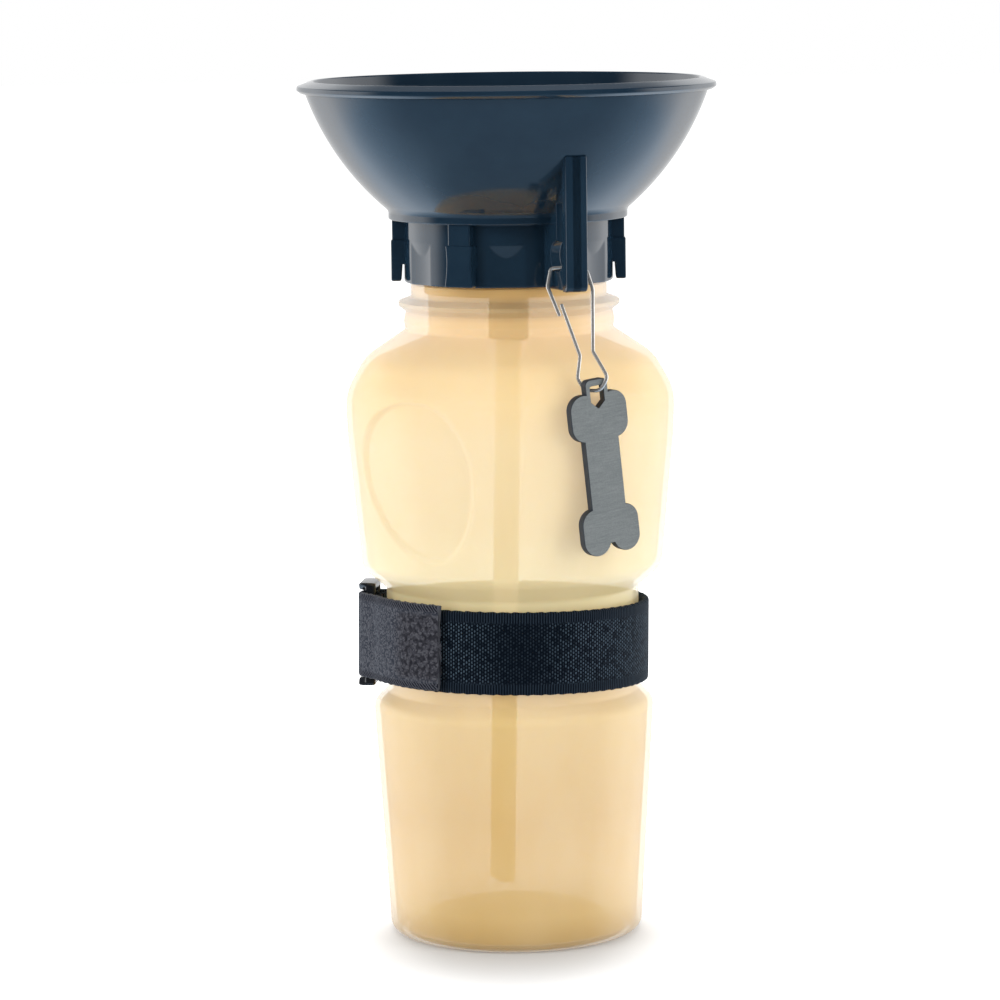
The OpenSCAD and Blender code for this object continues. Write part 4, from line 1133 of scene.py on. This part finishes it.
def hookFinish():
    f = Finish("hookFilm")
    spot = f.place()
    dots = f.node("TexVoronoi", {}, {"Vector": spot, "Scale": 1300.0})
    colour = f.mix(f.ease(dots, 0.1, 0.6), (0.035, 0.038, 0.043), (0.012, 0.013, 0.016))
    return f.surface({"Base Color": colour, "Roughness": 0.5 + dots * 0.3,
                      "Normal": f.bump(1 - dots, 0.0003, 0.9)})


def blackGloss():
    f = Finish("blackGloss")
    spot = f.place()
    cloud = f.noise(spot, 90, 2, 0.5)
    scuff = f.noise(f.stretched(spot, 1, 1, 5), 500, 2, 0.7)
    colour = f.mix(cloud, (0.008, 0.010, 0.013), (0.014, 0.016, 0.020))
    rough = 0.16 + f.ease(scuff, 0.55, 0.8) * 0.16
    return f.surface({"Base Color": colour, "Roughness": rough, "IOR": 1.5,
                      "Normal": f.bump(cloud + scuff * 0.1, 0.0001, 0.4)})


strapLength = evenly(strapPath(), 1, 1, 1)[1][-1]
makeStrap(webbing(strapLength))
makeStitches(threadFinish())
makeBuckle(blackGloss())
dress(mergedCopy("hook_patch", "hookPatch"), hookFinish(), "bottle", "hooks", "hook_patch")
print("strap: band, stitches, ring and hook patch")


# Clip and tag

clip = {
    "wire": 0.95, "azimuth": 70, "lean": 9,
    "corners": [(-0.1, -11.3, 0), (-3.5, -4.3, 1.8), (-2.85, 0.2, 1), (6, 0.9, 3), (8.15, -4.6, 3),
                (8.9, -19.9, 2), (12.9, -26, 1.8), (11.2, -29.4, 2.2), (7, -29.4, 2.5), (5.2, -26.5, 1.5),
                (5.55, -22, 0)],
    "gate": [(5.56, -21.8, 0), (5.6, -21, 1.2), (0.3, -8.7, 0)],
}
pivot = np.append(at(bowl["tabAzimuth"], keyAt), keyZ - bowl["keyRound"] + clip["wire"] / 2 + 0.1)


# Points of the clip's plane (across, up, out of it) in the bottle's frame
def clipPlace(points):
    y, z = swing(-points[..., 2], points[..., 1], radians(-clip["lean"]))
    return pivot + spun(np.stack([points[..., 0], y, z], -1), radians(clip["azimuth"] - 90))


def chromeWire():
    f = Finish("chromeWire")
    spot = f.place()
    drawn = f.noise(f.stretched(spot, 1, 1, 0.15), 2600, 2, 0.6)
    cloud = f.noise(spot, 240, 2, 0.5)
    colour = f.mix(cloud, (0.66, 0.64, 0.62), (0.84, 0.83, 0.81))
    return f.surface({"Base Color": colour, "Metallic": 0.78, "Roughness": 0.12 + drawn * 0.08 + cloud * 0.05,
                      "Normal": f.bump(drawn, 0.00003, 0.4)})


def makeClip(finish):
    for name, corners, body, node in (("clipWire", clip["corners"], "clip", "clip_wire"),
                                      ("clipGate", clip["gate"], "gate", "clip_gate")):
        grid = wireGrid(refined(rounded(corners, stepDeg=9), 0.8), clip["wire"])
        dress(skin(name, clipPlace(grid), poles=True), finish, body, "wire", node)


tag = {
    # hang is the tag's origin in the clip's plane
    "thick": 2.3, "shaft": 9.6, "long": 32.3, "azimuth": 30, "lean": 6.4, "hang": (9.7, -29.35, 0),
    "lobe": 3.8, "lobeAcross": 4.15, "lobeLow": 4.3, "lobeUp": 4.0, "notch": 1.2, "eyeWide": 6.2,
    "arch": 2.9, "eyeRound": 1.4, "slot": 3.8, "slotTop": 1.3, "slotLow": 2.6, "edge": 0.22,
}


# The bone's right half from its lower notch round to the top of its eye, then its mirror image
def tagOutline():
    t = tag
    lobe, side, half = t["lobe"], t["lobeAcross"], t["shaft"] / 2
    upperTop, upperLow = -t["lobeLow"], -t["lobeLow"] - t["lobeUp"]
    lowerTop, lowerLow = upperTop - t["long"] + t["lobeUp"], upperTop - t["long"]
    notch = degrees(np.arcsin(t["notch"] / lobe))
    neck = degrees(np.arccos((half - side) / lobe))
    eye = degrees(np.arccos((t["eyeWide"] / 2 - side) / lobe))
    eyeCorner = (t["eyeWide"] / 2 - t["eyeRound"], t["arch"] - t["eyeRound"])
    right = np.concatenate([
        [[0, lowerLow - t["notch"]]], arc((side, lowerLow), lobe, -180 + notch, 0, 20),
        arc((side, lowerTop), lobe, 0, neck), arc((side, upperLow), lobe, -neck, 0),
        arc((side, upperTop), lobe, 0, eye, 14), arc(eyeCorner, t["eyeRound"], 0, 90, 8)])
    return np.concatenate([right, (right * [-1, 1])[:0:-1]])


def makeTag(faceFinish, edgeFinish):
    t = tag
    slot, top, low = t["slot"] / 2, t["slotTop"], -t["slotLow"]
    hole = [(-slot, top, 0.5), (-slot, low, 0), (0, -t["lobeLow"], 0.3), (slot, low, 0), (slot, top, 0.5)]
    points, faces = plateParts([tagOutline(), rounded(hole, True, 20)], t["thick"], t["edge"])
    lean, turn = radians(t["lean"]), radians(t["azimuth"])
    across = np.array([cos(turn), sin(turn), 0])
    out = np.array([sin(turn), -cos(turn), 0])
    up = np.array([0, 0, 1])
    up, across = swing(up, across, lean)
    piece = solid("boneTag", placed(points, clipPlace(np.array(t["hang"])), across, up, out), faces)
    dress(evenShading(piece), [faceFinish, edgeFinish], "tag", "tag", "bone_tag")
    normals = np.zeros(len(piece.data.polygons) * 3)
    piece.data.polygons.foreach_get("normal", normals)
    onEdge = np.abs(normals.reshape(-1, 3) @ out) < 0.8
    piece.data.polygons.foreach_set("material_index", onEdge.astype(np.int32))


# Matt sheet, brushed across the bone; its cut edge is smoother and darker
def tagFace():
    f = Finish("tagFace")
    spot = f.place()
    turn, lean = radians(tag["azimuth"]), radians(tag["lean"])
    local = f.node("Mapping", {"vector_type": "TEXTURE"}, {"Vector": spot, "Rotation": (0, -lean, turn)})
    brush = f.noise(f.stretched(local, 220, 220, 2600), 1.0, 3, 0.65)
    speck = f.noise(spot, 2600, 2, 0.7)
    cloud = f.noise(spot, 130, 2, 0.5)
    tone = brush * 0.5 + speck * 0.35 + cloud * 0.2
    colour = f.mix(f.ease(tone, 0.30, 0.75), (0.125, 0.142, 0.148), (0.205, 0.224, 0.226))
    return f.surface({"Base Color": colour, "Roughness": 0.62 + brush * 0.2, "IOR": 1.45,
                      "Normal": f.bump(tone, 0.00008, 0.6)})


def tagEdge():
    f = Finish("tagEdge")
    spot = f.place()
    cut = f.noise(spot, 1800, 2, 0.6)
    colour = f.mix(cut, (0.012, 0.018, 0.028), (0.034, 0.044, 0.058))
    return f.surface({"Base Color": colour, "Roughness": 0.5 + cut * 0.2,
                      "Normal": f.bump(cut, 0.00006, 0.5)})


makeClip(chromeWire())
makeTag(tagFace(), tagEdge())
print("clip: wire, gate and tag")
